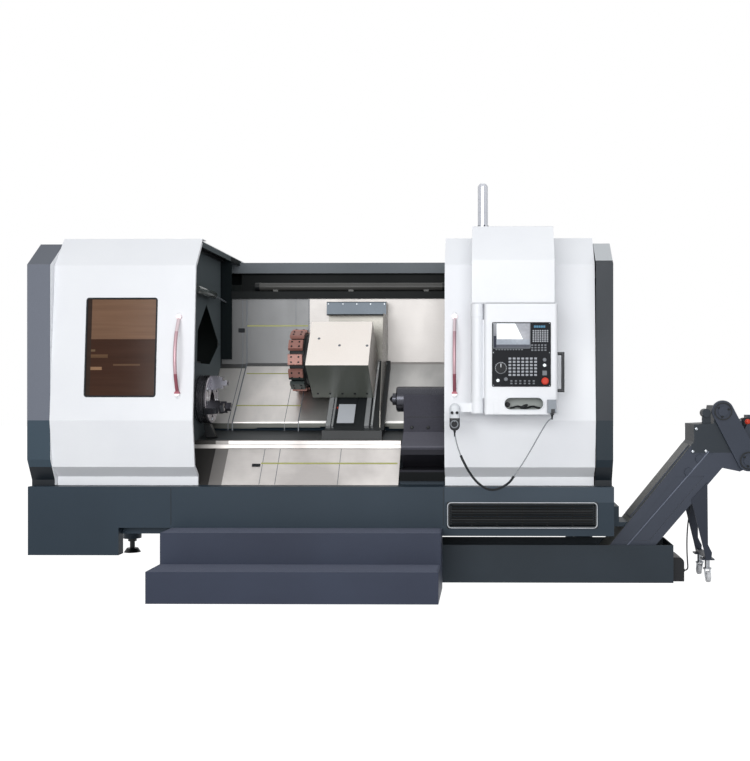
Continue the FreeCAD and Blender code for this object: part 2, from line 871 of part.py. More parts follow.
def make_headstock_hood():
    body = new_body("headstock_hood")
    t = d.casing_sheet
    roof = d.hood_roof_high
    left = d.end_left_inner + d.door_gap
    add(body, "x", left, d.hood_curb, rectangle(d.hood_front, roof - t, d.hood_back, roof))
    # dark curb along the roof's open edge and the fold down at its outer edge
    add(body, "x", d.hood_curb - t, d.hood_curb, curb_section())
    add(body, "x", left, left + t, curb_section())
    add(body, "x", left, d.hood_curb,
        rectangle(d.hood_back - t - 12, d.beam_high, d.hood_back - 12, roof - t / 2))
    # partition between the headstock and the work space, inside the closed door
    x0 = d.partition_x
    x1 = d.partition_x + t
    wall = d.cover_back - d.cover_step - 12
    add(body, "x", x0, x1, [
        (d.bed_front - 10, d.base_top),
        (d.bed_front - 10, d.bed_front_high + 18),
        (d.bed_slope_start - 8, d.bed_slope_start + d.bed_rise + 28),
        (d.cover_front - d.cover_step - 20, d.cover_front + d.cover_rise + 4),
        (wall - 10, wall - 10 + d.cover_rise + 26),
        (wall, wall + d.cover_rise + 40),
        (wall, roof - t / 2),
        (d.hood_front + 3, roof - t / 2),
    ] + door_inside(d.door_edge_fold + 3, d.base_top))
    # return that closes the corner against the stainless back wall
    add(body, "x", x0, d.hood_curb,
        rectangle(wall - t, wall + d.cover_rise + 60, wall, roof - t / 2))
    # well above the chuck, drawn to a point, and the hole for the spindle nose
    cut(body, "x", x0 - 1, x1 + 1, [
        (690, 2050), (450, 1834), (430, 1590), (780, 1590), (1050, 1757),
    ])
    cut(body, "x", x0 - 1, x1 + 1, circle=(d.axis_back, d.axis_high, d.partition_bore / 2))


def make_tail_hood():
    body = new_body("tail_hood")
    t = d.casing_sheet
    roof = d.hood_roof_high
    left = d.right_door_left
    right = d.end_right_inner - d.door_gap
    add(body, "x", left, right, rectangle(d.hood_front, roof - t, d.hood_back, roof))
    add(body, "x", left, left + t, curb_section())
    add(body, "x", right - t, right, curb_section())
    add(body, "x", left, right,
        rectangle(d.hood_back - t - 12, d.beam_high, d.hood_back - 12, roof - t / 2))
    # end wall of the work space behind the tailstock
    x0 = d.tail_partition_x
    wall = d.cover_back - d.cover_step * 2 - 14
    add(body, "x", x0, x0 + t, [
        (d.bed_front - 10, d.tail_way_high),
        (d.bed_front - 10, d.bed_front_high + 18),
        (d.bed_slope_start - 8, d.bed_slope_start + d.bed_rise + 28),
        (d.cover_front - d.cover_step * 2 - 12, d.cover_front + d.cover_rise + 20),
        (wall, wall + d.cover_rise + 50),
        (wall, roof - t / 2),
        (d.hood_front + 3, roof - t / 2),
    ] + door_inside(d.door_edge_fold + 3, d.tail_way_high))


def make_rear_cover():
    body = new_body("rear_cover")
    t = d.casing_sheet
    left = d.end_left_inner
    right = d.end_right_inner
    back = d.base_depth
    add(body, "x", left, right, [
        (back - t, d.base_top),
        (back, d.base_top),
        (back, d.end_rear_high),
        (d.hood_back, d.beam_high),
        (d.hood_back, d.beam_high - t * 1.5),
        (back - t, d.end_rear_high - t * 0.5),
    ])
    # switch cabinet carried on the rear sheet
    skin = d.cabinet_sheet
    add(body, "y", back, back + d.cabinet_depth,
        rectangle(d.cabinet_left, d.cabinet_low, d.cabinet_right, d.cabinet_high))
    cut(body, "y", back + skin, back + d.cabinet_depth,
        rectangle(d.cabinet_left + skin, d.cabinet_low + skin,
                  d.cabinet_right - skin, d.cabinet_high - skin))
    # mounting plate with its row of drives
    add(body, "y", back + skin - 1, back + skin + 6,
        rectangle(d.cabinet_left + 90, d.cabinet_low + 120, d.cabinet_right - 90, d.cabinet_high - 120))
    drive = add(body, "y", back + skin + 5, back + skin + 230,
                rectangle(d.cabinet_left + 150, d.cabinet_high - 760,
                          d.cabinet_left + 300, d.cabinet_high - 260))
    repeat_along(body, drive, "X_Axis", d.cabinet_right - d.cabinet_left - 450, 4)


def make_cabinet_door():
    body = new_body("cabinet_door")
    near = d.base_depth + d.cabinet_depth + 0.5
    thick = d.cabinet_door_thick
    add(body, "y", near, near + thick,
        rectangle(d.cabinet_left + 2, d.cabinet_low + 2, d.cabinet_right - 2, d.cabinet_high - 2))
    # the door is a shallow tray, open towards the cabinet
    cut(body, "y", near, near + thick - 4,
        rectangle(d.cabinet_left + 30, d.cabinet_low + 30, d.cabinet_right - 30, d.cabinet_high - 30))
    # lock recess near the free edge
    cut(body, "y", near + thick - 3, near + thick,
        rectangle(d.cabinet_right - 74, 1270, d.cabinet_right - 46, 1400))


def recess_floor(y):
    """Height of the recess floor above the way covers, which climbs to the back."""
    climb = d.recess_climb / (d.recess_back + d.casing_sheet - d.wiper_front)
    return d.wiper_high + (size(y) - d.wiper_front) * climb


def make_top_beam():
    body = new_body("top_beam")
    t = d.casing_sheet
    far = d.recess_back + t
    left = d.end_left_inner
    right = d.end_right_inner
    add(body, "x", left, right, rectangle(d.beam_front, d.beam_low, d.hood_back - 8, d.beam_high))
    cut(body, "x", left, right,
        rectangle(d.beam_front + t, d.beam_low + t, d.hood_back - 8 - t, d.beam_high - t))
    # black recess under the beam, ending in the lip over the covers' top edge
    add(body, "x", d.hood_curb, d.right_door_left,
        rectangle(d.recess_back, recess_floor(d.recess_back) - t / 2, far, d.beam_low + t / 2))
    add(body, "x", d.hood_curb, d.right_door_left, [
        (d.wiper_front, d.wiper_high - t),
        (far, recess_floor(far) - t),
        (far, recess_floor(far)),
        (d.wiper_front, d.wiper_high),
    ])
    add(body, "x", d.hood_curb, d.right_door_left,
        rectangle(d.wiper_front, d.wiper_low, d.wiper_front + t, d.wiper_high - 1))


def make_work_light():
    body = new_body("work_light")
    tube = (d.lamp_back, d.lamp_high, d.lamp_diameter / 2)
    add(body, "x", d.lamp_left, d.lamp_right, circle=tube)
    cap = (d.lamp_back, d.lamp_high, d.lamp_diameter / 2 + 3)
    for low, high in ((d.lamp_left - 10, d.lamp_left + 34), (d.lamp_right - 34, d.lamp_right + 10)):
        add(body, "x", low, high, circle=cap)
    # three saddle clips stand on the recess floor
    span = d.lamp_right - d.lamp_left - 320
    clip = add(body, "x", d.lamp_left + 140, d.lamp_left + 180, [
        (d.lamp_back - 22, recess_floor(d.lamp_back - 22)),
        (d.lamp_back + 22, recess_floor(d.lamp_back + 22)),
        (d.lamp_back + 22, d.lamp_high),
        (d.lamp_back - 22, d.lamp_high),
    ])
    repeat_along(body, clip, "X_Axis", span, 3)


# ---------------------------------------------------------------- stainless lining

def make_splash_apron():
    body = new_body("splash_apron")
    t = d.apron_sheet
    left = d.apron_left
    right = d.apron_right
    add(body, "x", left, right, [
        (d.apron_front, d.base_top),
        (d.apron_front + t * 1.4, d.base_top),
        (d.apron_back + t * 1.4, d.apron_high),
        (d.apron_back, d.apron_high),
    ])
    web = d.apron_back + 14
    add(body, "x", left, right, rectangle(d.apron_back, d.apron_high - t, web + t, d.apron_high))
    add(body, "x", left, right, rectangle(web, d.apron_high - t, web + t, d.rail_low + 1))
    # round-edged guard rail and the ledge behind it
    add(body, "x", left, right,
        rectangle(d.apron_back - 2, d.rail_low, d.apron_back - 2 + d.rail_width, d.rail_high))
    fillet(body, lambda e: runs_along(e, "x") and abs(e.Vertexes[0].Point.z - d.rail_high.value) < 0.01
           and abs(e.Vertexes[0].Point.y - d.apron_back.value + 2) < 0.01, 9)
    ledge = d.apron_back - 2 + d.rail_width - 1
    add(body, "x", left, right, [
        (ledge, d.ledge_front_high),
        (d.ledge_back, d.ledge_back_high),
        (d.ledge_back, d.ledge_back_high - t),
        (ledge, d.ledge_front_high - t),
    ])


def cover_section(step):
    """Bent section of a way cover, each step nearer the viewer than the last."""
    t = d.cover_sheet
    shift = d.cover_step * step
    front = d.cover_front - shift
    back = d.cover_back - shift
    rise = d.cover_rise + shift * 2
    inner = t * 0.4142
    return [
        (front, d.cover_low + shift),
        (front, front + rise),
        (back, back + rise),
        (back, d.cover_high),
        (back + t, d.cover_high),
        (back + t, back + rise - inner),
        (front + t, front + rise - inner),
        (front + t, d.cover_low + shift),
    ]


def wiper(body, x, rise_below, rise_between):
    """A strip under a way cover that ends 0.3 mm above the layer at rise_below."""
    add(body, "x", x, x + d.wiper_width, slope_strip(
        d.cover_front + 50, d.cover_back - 50, rise_below + 0.42,
        rise_between - d.cover_sheet * 1.41421))


def make_way_covers():
    plates = (
        ("left_way_cover", d.left_cover_left, d.left_cover_right, 0),
        ("left_mid_cover", d.mid_cover_left, d.mid_cover_right, 1),
        ("right_way_cover", d.right_cover_left, d.right_cover_right, 0),
        ("carriage_cover", d.carriage_cover_left, d.carriage_cover_right, 2),
    )
    for name, left, right, step in plates:
        body = new_body(name)
        add(body, "x", left, right, cover_section(step))
        if step:
            # wiper that rides just above the layer below
            wiper(body, left, d.cover_rise + d.cover_step * 2 * (step - 1), d.cover_step * 2)
        if step < 2:
            continue
        wiper(body, right - d.wiper_width, d.cover_rise, d.cover_step * 4)
        # slot for the saddle's neck, on the slope only
        rise = d.cover_rise + d.cover_step * 4
        cut(body, "y", d.cover_front, d.cover_back - 30,
            rectangle(d.neck_left - 6, d.neck_lower + rise - 8, d.neck_right + 6, d.neck_upper + rise + 8))


# ---------------------------------------------------------------- headstock and chuck

def make_headstock():
    body = new_body("headstock_casting")
    add(body, "x", d.headstock_left, d.headstock_right, [
        (230, d.base_top),
        (230, 1120),
        (300, 1500),
        (430, 1610),
        (700, 1610),
        (1060, 1330),
        (1180, 1000),
        (1180, d.base_top),
    ])
    fillet(body, lambda e: runs_along(e, "x") and e.Vertexes[0].Point.z > 1100, 45)
    cut(body, "x", d.headstock_left, d.headstock_right,
        circle=(d.axis_back, d.axis_high, d.spindle_diameter / 2 + d.running_fit))
    # gear space under the bearings, open to the base
    cut(body, "z", d.base_top, d.base_top + 460,
        rectangle(d.headstock_left + 60, 290, d.headstock_right - 60, 1120))
    # front bearing cap round the spindle nose
    add(body, "x", d.headstock_right, d.headstock_right + 14,
        circle=(d.axis_back, d.axis_high, d.spindle_flange / 2 + 32))
    cut(body, "x", d.headstock_right, d.headstock_right + 14,
        circle=(d.axis_back, d.axis_high, d.spindle_flange / 2 + 2))


def on_spindle(name):
    """A body whose own X axis is the spindle's."""
    body = new_body(name)
    place(body, 0, d.axis_back, d.axis_high)
    return body


def make_spindle():
    body = on_spindle("spindle")
    shaft = d.spindle_diameter / 2
    bore = d.spindle_bore / 2
    nose = d.headstock_right + 1
    turn(body, [
        (d.headstock_left - 60, bore),
        (d.chuck_back, bore),
        (d.chuck_back, d.spindle_flange / 2),
        (nose, d.spindle_flange / 2),
        (nose, shaft),
        (d.headstock_left - 60, shaft),
    ])


def make_chuck():
    body = on_spindle("chuck_body")
    radius = d.chuck_diameter / 2
    turn(body, [
        (d.chuck_back, d.chuck_bore / 2),
        (d.chuck_face, d.chuck_bore / 2),
        (d.chuck_face, radius - 6),
        (d.chuck_face - 6, radius),
        (d.chuck_back + 30, radius),
        (d.chuck_back + 30, radius - 4),
        (d.chuck_back, radius - 4),
    ])
    # radial slots for the three jaws
    half = d.jaw_width / 2 + 0.3
    slot = cut(body, "x", d.chuck_face - d.jaw_seat - 0.4, d.chuck_face,
               rectangle(-half, d.jaw_inner - 36, half, radius + 2))
    repeat_around(body, slot, 3, "X_Axis")
    # bolt holes in the face between the jaws
    hole = cut(body, "x", d.chuck_face - 22, d.chuck_face, circle=(0, -radius * 0.72, 13))
    repeat_around(body, hole, 3, "X_Axis")


def make_jaws():
    for number in (1, 2, 3):
        body = new_body(f"chuck_jaw_{number}")
        place(body, 0, d.axis_back, d.axis_high, FreeCAD.Vector(1, 0, 0), 120 * (number - 1))
        half = d.jaw_width / 2
        back = d.chuck_face - d.jaw_seat
        tip = d.chuck_face + d.jaw_length
        # stepped section in the plane through the spindle axis
        add(body, "y", -half, half, [
            (back, d.jaw_inner),
            (back, d.jaw_outer),
            (d.chuck_face + 44, d.jaw_outer),
            (d.chuck_face + 44, d.jaw_outer - 10),
            (tip - 34, d.jaw_outer - 10),
            (tip - 34, d.jaw_outer - 40),
            (tip, d.jaw_outer - 40),
            (tip, d.jaw_inner + 34),
            (tip - 30, d.jaw_inner + 34),
            (tip - 30, d.jaw_inner + 12),
            (d.chuck_face + 36, d.jaw_inner + 12),
            (d.chuck_face + 36, d.jaw_inner),
        ])
        # counterbored screw hole that holds the top jaw
        cut(body, "x", d.chuck_face + 10, tip, circle=(0, d.jaw_outer - 62, 11))


# ---------------------------------------------------------------- carriage

def make_saddle():
    body = new_body("saddle")
    ledge = d.apron_back - 2 + d.rail_width - 1
    ledge_slope = (d.ledge_back_high - d.ledge_front_high) / (d.ledge_back - ledge)
    heel = d.cover_front - d.cover_step * 2 - 26
    add(body, "x", d.saddle_left, d.saddle_right, [
        (d.saddle_front, d.ledge_front_high + ledge_slope * (d.saddle_front - ledge) + 8),
        (d.saddle_front, d.saddle_step_high),
        (d.saddle_step_high - d.slide_rise, d.saddle_step_high),
        (d.saddle_top, d.saddle_top + d.slide_rise),
        (d.saddle_top + 14, d.saddle_top + 14 + d.saddle_under_rise),
        (heel, heel + d.saddle_under_rise),
        (heel, d.ledge_front_high + ledge_slope * (heel - ledge) + 8),
    ])
    # neck that goes through the cover's slot down to the bed's ways
    drop = d.saddle_under_rise - d.bed_rise - d.way_rise - 0.6
    add(body, "x", d.neck_left, d.neck_right, [
        (d.neck_lower, d.neck_lower + d.saddle_under_rise + 1),
        (d.neck_upper, d.neck_upper + d.saddle_under_rise + 1),
        (d.neck_upper + drop / 2, d.neck_upper + d.saddle_under_rise - drop / 2),
        (d.neck_lower + drop / 2, d.neck_lower + d.saddle_under_rise - drop / 2),
    ])
    # cover over the cross-feed screw, between the guide strips
    low = d.saddle_step_high - d.slide_rise + 34
    add(body, "x", d.saddle_left + 80, d.saddle_left + 218,
        slope_strip(low, low + 300, d.slide_rise, 12))


def make_slide_rails():
    body_parts = []
    start = d.saddle_step_high - d.slide_rise + 14
    end = d.saddle_top - 24
    strips = (
        (d.saddle_left + 7, d.rail_strip_wide),
        (d.saddle_left + 49, d.rail_strip_narrow),
        (d.saddle_right - 148, d.rail_strip_wide),
        (d.saddle_right - 98, d.rail_strip_narrow),
    )
    for number, (x, width) in enumerate(strips, 1):
        body = doc.addObject("PartDesign::Body", f"slide_rail_{number}")
        add(body, "x", x, x + width,
            slope_strip(start, end, d.slide_rise, d.rail_strip_rise))
        body_parts.append(body)
    group = separate("slide_rails", body_parts)
    place(group)
    keep("slide_rails", group)


def make_turret_housing():
    body = new_body("turret_housing")
    foot = d.slide_rise + d.rail_strip_rise + d.slide_gap
    add(body, "x", d.housing_left, d.housing_right, [
        (d.housing_nose_back, d.housing_nose_high),
        (d.housing_crown_back, d.housing_crown_high),
        (d.housing_heel_back, d.housing_heel_back + foot),
        (d.housing_foot_back, d.housing_foot_back + foot),
    ])
    fillet(body, lambda e: runs_along(e, "x"), 10)
    # bearing boss that carries the turret disc
    add(body, "x", d.turret_right + 35, d.housing_left + 1,
        circle=(d.turret_back, d.turret_back + d.axis_high - d.axis_back, d.turret_hub_radius + 18))


def make_slide_guard():
    body = new_body("slide_guard")
    t = d.guard_sheet
    x = d.guard_plate_x
    low = d.saddle_step_high - d.slide_rise + 18
    add(body, "x", x, x + t, [
        (low, low + d.slide_rise),
        (d.saddle_top, d.saddle_top + d.slide_rise),
        (d.guard_back, d.saddle_top + d.slide_rise + 15),
        (d.guard_back, d.guard_bar_high),
        (d.guard_bar_front, d.guard_bar_high),
        (d.guard_bar_front, d.guard_bar_low),
        (d.guard_bar_front - 170, d.guard_bar_low),
        (low + 5, low + d.slide_rise + 125),
    ])
    # upper end box of the slide, closed round the feed motor, and the sheet behind it
    add(body, "x", d.guard_bar_left, x + t,
        rectangle(d.guard_bar_front, d.guard_bar_low, d.guard_back, d.guard_bar_high))
    fillet(body, lambda e: runs_along(e, "x") and e.Length > 400
           and abs(e.Vertexes[0].Point.y - d.guard_bar_front.value) < 0.01, 8)
    add(body, "x", d.guard_bar_left, x + t,
        rectangle(d.guard_back - 4, d.saddle_top + d.slide_rise + 15, d.guard_back, d.guard_bar_low + 1))


def on_turret(name):
    body = new_body(name)
    place(body, 0, d.turret_back, d.turret_back + d.axis_high - d.axis_back)
    return body


def make_turret():
    body = on_turret("turret_disc")
    rim = d.turret_radius
    flange = d.turret_flange_radius
    turn(body, [
        (d.turret_left, 0),
        (d.turret_left, 70),
        (d.turret_left + 12, 84),
        (d.turret_left + 12, rim - 8),
        (d.turret_left + 20, rim),
        (d.turret_right, rim),
        (d.turret_right, flange),
        (d.turret_right + 20, flange),
        (d.turret_right + 20, d.turret_hub_radius),
        (d.turret_right + 34.5, d.turret_hub_radius),
        (d.turret_right + 34.5, 0),
    ])
    half = d.station_width / 2 - 6
    seat = cut(body, "x", d.turret_left + 12, d.turret_right - 14,
               rectangle(-half, d.station_radius, half, rim + 6))
    repeat_around(body, seat, d.turret_stations, "X_Axis")


def make_tool_blocks():
    blocks = []
    half = d.station_width / 2 - 6
    for number in range(12):
        body = doc.addObject("PartDesign::Body", f"tool_block_{number + 1}")
        angle = 360 / 12 * number
        turned = FreeCAD.Rotation(FreeCAD.Vector(1, 0, 0), angle)
        body.Placement = FreeCAD.Placement(FreeCAD.Vector(), turned)
        low = d.turret_left + 12
        high = d.turret_right - 14
        add(body, "x", low, high, rectangle(-half, d.station_radius, half, d.turret_radius))
        # wider head that clamps over the rim
        add(body, "x", low - 8, high + 6, [
            (-half - 4, d.turret_radius + 1),
            (half + 4, d.turret_radius + 1),
            (half - 2, d.tool_block_reach),
            (-half + 2, d.tool_block_reach),
        ])
        add(body, "x", low, high, rectangle(-half, d.turret_radius - 1, half, d.turret_radius + 2))
        cut(body, "x", low - 8, low + 30, circle=(0, (d.station_radius + d.tool_block_reach) / 2, 14))
        blocks.append(body)
    group = separate("tool_blocks", blocks)
    place(group, 0, d.turret_back, d.turret_back + d.axis_high - d.axis_back)
    keep("tool_blocks", group)


# ---------------------------------------------------------------- tailstock

def make_tailstock():
    body = new_body("tailstock_body")
    add(body, "x", d.tail_foot_left, d.tail_foot_right, rectangle(
        d.tail_front + 5, d.tail_way_high + 0.4, d.tail_foot_back, d.tail_foot_high))
    add(body, "x", d.tail_left, d.tail_right, [
        (d.tail_face, d.tail_foot_high - 1),
        (d.tail_front, d.tail_cheek_low),
        (d.tail_front, d.tail_cheek_high),
        (d.tail_front + 125, d.tail_cheek_high + 48),
        (d.tail_face, d.tail_shoulder_high),
        (d.tail_face, d.tail_cradle_high),
        (d.tail_back - 24, d.tail_cradle_high),
        (d.tail_back, d.tail_shoulder_high + 60),
        (d.tail_back, d.tail_under_high),
        (d.tail_foot_back, d.tail_under_high),
        (d.tail_foot_back, d.tail_foot_high - 1),
    ])
    add(body, "x", d.tail_ring_left, d.tail_right,
        circle=(d.axis_back, d.axis_high, d.tail_ring_radius))
    cut(body, "x", d.tail_left, d.quill_right + 30,
        circle=(d.axis_back, d.axis_high, d.quill_diameter / 2 + d.running_fit))
    fillet(body, lambda e: runs_along(e, "x") and abs(e.Vertexes[0].Point.y - d.tail_front.value) < 0.01
           and e.Vertexes[0].Point.z > d.tail_cheek_low.value + 1, 18)


def make_quill():
    body = on_spindle("tailstock_quill")
    radius = d.quill_diameter / 2
    socket = d.quill_socket / 2
    turn(body, [
        (d.quill_left, socket),
        (d.quill_left, radius - 8),
        (d.quill_left + 8, radius),
        (d.quill_right, radius),
        (d.quill_right, 0),
        (d.quill_left + 160, 0),
        (d.quill_left + 160, socket),
    ])
    center = on_spindle("live_center")
    nose = d.center_diameter / 2
    tip = d.quill_left - d.center_length - d.center_cone
    turn(center, [
        (tip, 0),
        (tip, 9),
        (d.quill_left - d.center_length, nose - 14),
        (d.quill_left - d.center_length, nose),
        (d.quill_left - 0.5, nose),
        (d.quill_left - 0.5, socket - 0.05),
        (d.quill_left + 150, socket - 0.05),
        (d.quill_left + 150, 0),
    ])


# ---------------------------------------------------------------- doors

def door_outside(low):
    """The door's outer face as points from low up to the roof bend."""
    return [
        (d.door_foot_back, low),
        (d.door_foot_back, d.door_foot_high),
        (d.door_lower_back, d.door_lower_high),
        (-d.door_crease_front, d.door_crease_high),
        (d.door_upper_back, d.door_upper_high),
    ]


def door_inside(depth, low):
    """The same face a depth further back, from the roof bend down to low."""
    bevel = size(depth) * 0.6
    return [
        (d.door_upper_back + depth, d.door_upper_high - bevel),
        (-d.door_crease_front + depth, d.door_crease_high),
        (d.door_lower_back + depth, d.door_lower_high + bevel),
        (d.door_foot_back + depth, d.door_foot_high + bevel),
        (d.door_foot_back + depth, low),
    ]


def roof_bend(depth, high):
    """A point of the door's roof slope at a height, a depth behind its outer face."""
    slope = (d.door_roof_back - d.door_upper_back) / (d.door_roof_high - d.door_upper_high)
    bevel = size(depth) * 0.6
    return (d.door_upper_back + depth + (size(high) - d.door_upper_high + bevel) * slope, high)


def make_door(name, left, right):
    body = new_body(name)
    t = d.casing_sheet
    low = d.base_top + 0.3
    roof = d.door_roof_high
    add(body, "x", left, right, door_outside(low) + [
        (d.door_roof_back, roof),
        (d.door_roof_back + d.door_roof_lip, roof),
        (d.door_roof_back + d.door_roof_lip, roof - t),
        roof_bend(t, roof - t),
    ] + door_inside(t, low))
    # folded edges down both sides, ending short of the hood's roof
    fold_high = d.hood_roof_high - 23
    for x in (left, right - t):
        add(body, "x", x, x + t, door_outside(low) + [
            roof_bend(size(0), fold_high),
            roof_bend(d.door_edge_fold, fold_high),
        ] + door_inside(d.door_edge_fold, low))
    return body


def face_y(z):
    """Depth of the door's leaning upper face at a height."""
    lean = (d.door_upper_back + d.door_crease_front) / (d.door_upper_high - d.door_crease_high)
    return (size(z) - d.door_crease_high) * lean - d.door_crease_front


def make_doors():
    left = make_door("left_door", d.end_left_inner + d.door_gap, d.left_door_right)
    cut(left, "y", -60, 240, rectangle(d.window_left, d.window_low, d.window_right, d.window_high))
    fillet(left, lambda e: runs_along(e, "y")
           and d.window_left.value - 1 < e.Vertexes[0].Point.x < d.window_right.value + 1, d.window_corner)
    glass = new_body("door_window")
    low = d.window_low - d.window_lap
    high = d.window_high + d.window_lap
    near = d.casing_sheet + 0.2
    add(glass, "x", d.window_left - d.window_lap, d.window_right + d.window_lap, [
        (face_y(low) + near, low),
        (face_y(high) + near, high),
        (face_y(high) + near + d.window_glass, high),
        (face_y(low) + near + d.window_glass, low),
    ])
    # raised middle of the pane, which fills the opening's gasket
    inset = size(7)
    add(glass, "x", d.window_left + inset, d.window_right - inset, [
        (face_y(d.window_low + inset) + 1.5, d.window_low + inset),
        (face_y(d.window_high - inset) + 1.5, d.window_high - inset),
        (face_y(d.window_high - inset) + near + 1, d.window_high - inset),
        (face_y(d.window_low + inset) + near + 1, d.window_low + inset),
    ])
    make_door("right_door", d.right_door_left, d.end_right_inner - d.door_gap)
    make_handle("left_door_handle", d.left_handle_x)
    make_handle("right_door_handle", d.right_handle_x)


def make_handle(name, x):
    """A bowed bar whose ends stand on two bosses on the door's face."""
    half = driving["handle_length"] / 2
    bow = driving["handle_stand_off"] - driving["handle_bar"] / 2
    radius = (half * half + bow * bow) / (2 * bow)
    sweep = math.degrees(math.asin(half / radius))
    bar = doc.addObject("Part::Torus", name + "_bar")
    bar.setExpression("Radius2", (d.handle_bar / 2).text)
    bar.Radius1 = radius
    bar.Angle3 = 2 * sweep
    # the ring stands in the plane X = constant, its crown to the front, leaning like the face
    lean = math.atan2(driving["door_upper_back"] + driving["door_crease_front"],
                      driving["door_upper_high"] - driving["door_crease_high"])
    upright = FreeCAD.Rotation(
        FreeCAD.Vector(0, -1, 0), FreeCAD.Vector(0, 0, 1), FreeCAD.Vector(-1, 0, 0), "XYZ")
    centred = FreeCAD.Rotation(FreeCAD.Vector(0, 0, 1), -sweep)
    leaning = FreeCAD.Rotation(FreeCAD.Vector(1, 0, 0), -math.degrees(lean))
    bar.Placement = FreeCAD.Placement(FreeCAD.Vector(), leaning.multiply(upright).multiply(centred))
    middle = d.handle_middle
    behind = radius - bow
    bar.setExpression("Placement.Base.x", x.text)
    bar.setExpression("Placement.Base.y", (face_y(middle) + behind * math.cos(lean)).text)
    bar.setExpression("Placement.Base.z", (middle - behind * math.sin(lean)).text)
    bosses = []
    for number, z in enumerate((middle - d.handle_length / 2, middle + d.handle_length / 2), 1):
        boss = cylinder(f"{name}_boss_{number}", x, face_y(z) + 6, z, d.handle_boss / 2, 26, "-y")
        bosses.append(boss)
    whole = fuse(name, [bar] + bosses)
    # whatever of the ends would pass the sheet is trimmed at the door's face
    low = middle - d.handle_length
    high = middle + d.handle_length
    trim = doc.addObject("PartDesign::Body", name + "_trim")
    add(trim, "x", x - 60, x + 60, [
        (face_y(low), low),
        (face_y(high), high),
        (face_y(high) + 300, high),
        (face_y(low) + 300, low),
    ])
    trimmed = subtract(name + "_trimmed", whole, trim)
    place(trimmed)
    keep(name, trimmed)


# ---------------------------------------------------------------- control arm and box

def make_control_arm():
    body = new_body("control_arm")
    add(body, "x", d.arm_left, d.arm_right, [
        (-d.arm_front, d.arm_low),
        (-d.arm_front, d.arm_chamfer_low),
        (-d.arm_chamfer_front, d.arm_high),
        (d.arm_back, d.arm_high),
        (d.arm_back, d.hood_roof_high),
        (d.door_roof_back + d.door_roof_lip + 15, d.hood_roof_high),
        (d.door_roof_back + d.door_roof_lip + 15, d.door_roof_high + 6),
        (d.door_roof_back - 22, d.door_roof_high + 6),
        (d.door_upper_back - 24, d.door_upper_high + 7),
        (face_y(d.arm_low) - 25, d.arm_low),
    ])
    fillet(body, lambda e: runs_along(e, "x") and e.Vertexes[0].Point.y < -100, 14)
    # hollow inside, open underneath above the control box
    skin = d.arm_sheet
    cut(body, "x", d.pivot_x + d.knuckle_diameter / 2 + 14, d.arm_right - skin, [
        (-d.arm_front + skin, d.arm_low - 1),
        (-d.arm_front + skin, d.arm_chamfer_low - skin * 0.5),
        (-d.arm_chamfer_front + skin * 0.5, d.arm_high - skin),
        (d.arm_back - skin, d.arm_high - skin),
        (d.arm_back - skin, d.door_roof_high + 6 + skin),
        (d.door_roof_back - 22 - skin * 0.5, d.door_roof_high + 6 + skin),
        (d.door_upper_back - 24 - skin, d.door_upper_high + 7 + skin * 0.5),
        (face_y(d.arm_low) - 25 - skin, d.arm_low - 1),
    ])
    # hinge pin with its two fixed knuckles
    pivot = (d.pivot_x, -d.pivot_front)
    knuckle = d.knuckle_diameter / 2
    add(body, "z", d.upper_knuckle_low, d.arm_low + 1, circle=(*pivot, knuckle))
    add(body, "z", d.lower_knuckle_low, d.upper_knuckle_low + 1, circle=(*pivot, d.pivot_pin / 2))
    add(body, "z", d.lower_knuckle_low, d.lower_knuckle_high, circle=(*pivot, knuckle))
    # plate that the hand-wheel pendant hangs on
    add(body, "y", -d.pendant_back, -d.pendant_back + 14,
        rectangle(d.pendant_x - 28, d.pendant_high - 60, d.pivot_x - 30, d.pendant_high))


def make_tower_light():
    body = new_body("tower_light")
    # the body's own X axis points up
    place(body, d.signal_x, d.signal_back, d.arm_high, FreeCAD.Vector(0, 1, 0), -90)
    r = d.signal_radius
    base = d.signal_base
    high = d.signal_height
    lens = (high - base - 27) / 3
    groove = size(4)
    turn(body, [
        (0, 0),
        (0, r - 3),
        (10, r - 3),
        (14, r - 12),
        (base, r - 12),
        (base, r),
        (base + lens, r),
        (base + lens, r - 2),
        (base + lens + groove, r - 2),
        (base + lens + groove, r),
        (base + lens * 2, r),
        (base + lens * 2, r - 2),
        (base + lens * 2 + groove, r - 2),
        (base + lens * 2 + groove, r),
        (high - 27, r),
        (high - 9, r * 0.72),
        (high, r * 0.3),
        (high, 0),
    ])


def switch_holes(body, near, far):
    """Holes for the dial and the push buttons, through the panel or into the box."""
    for x, z, radius in (
            (d.dial_x, d.dial_z, d.dial_stem),
            (d.estop_x, d.estop_z, d.estop_stem),
            (d.power_x, d.power_z, d.button_radius),
            (d.cycle_x, d.cycle_z, d.button_radius)):
        cut(body, "y", near, far, circle=(x, z, radius + d.switch_gap))


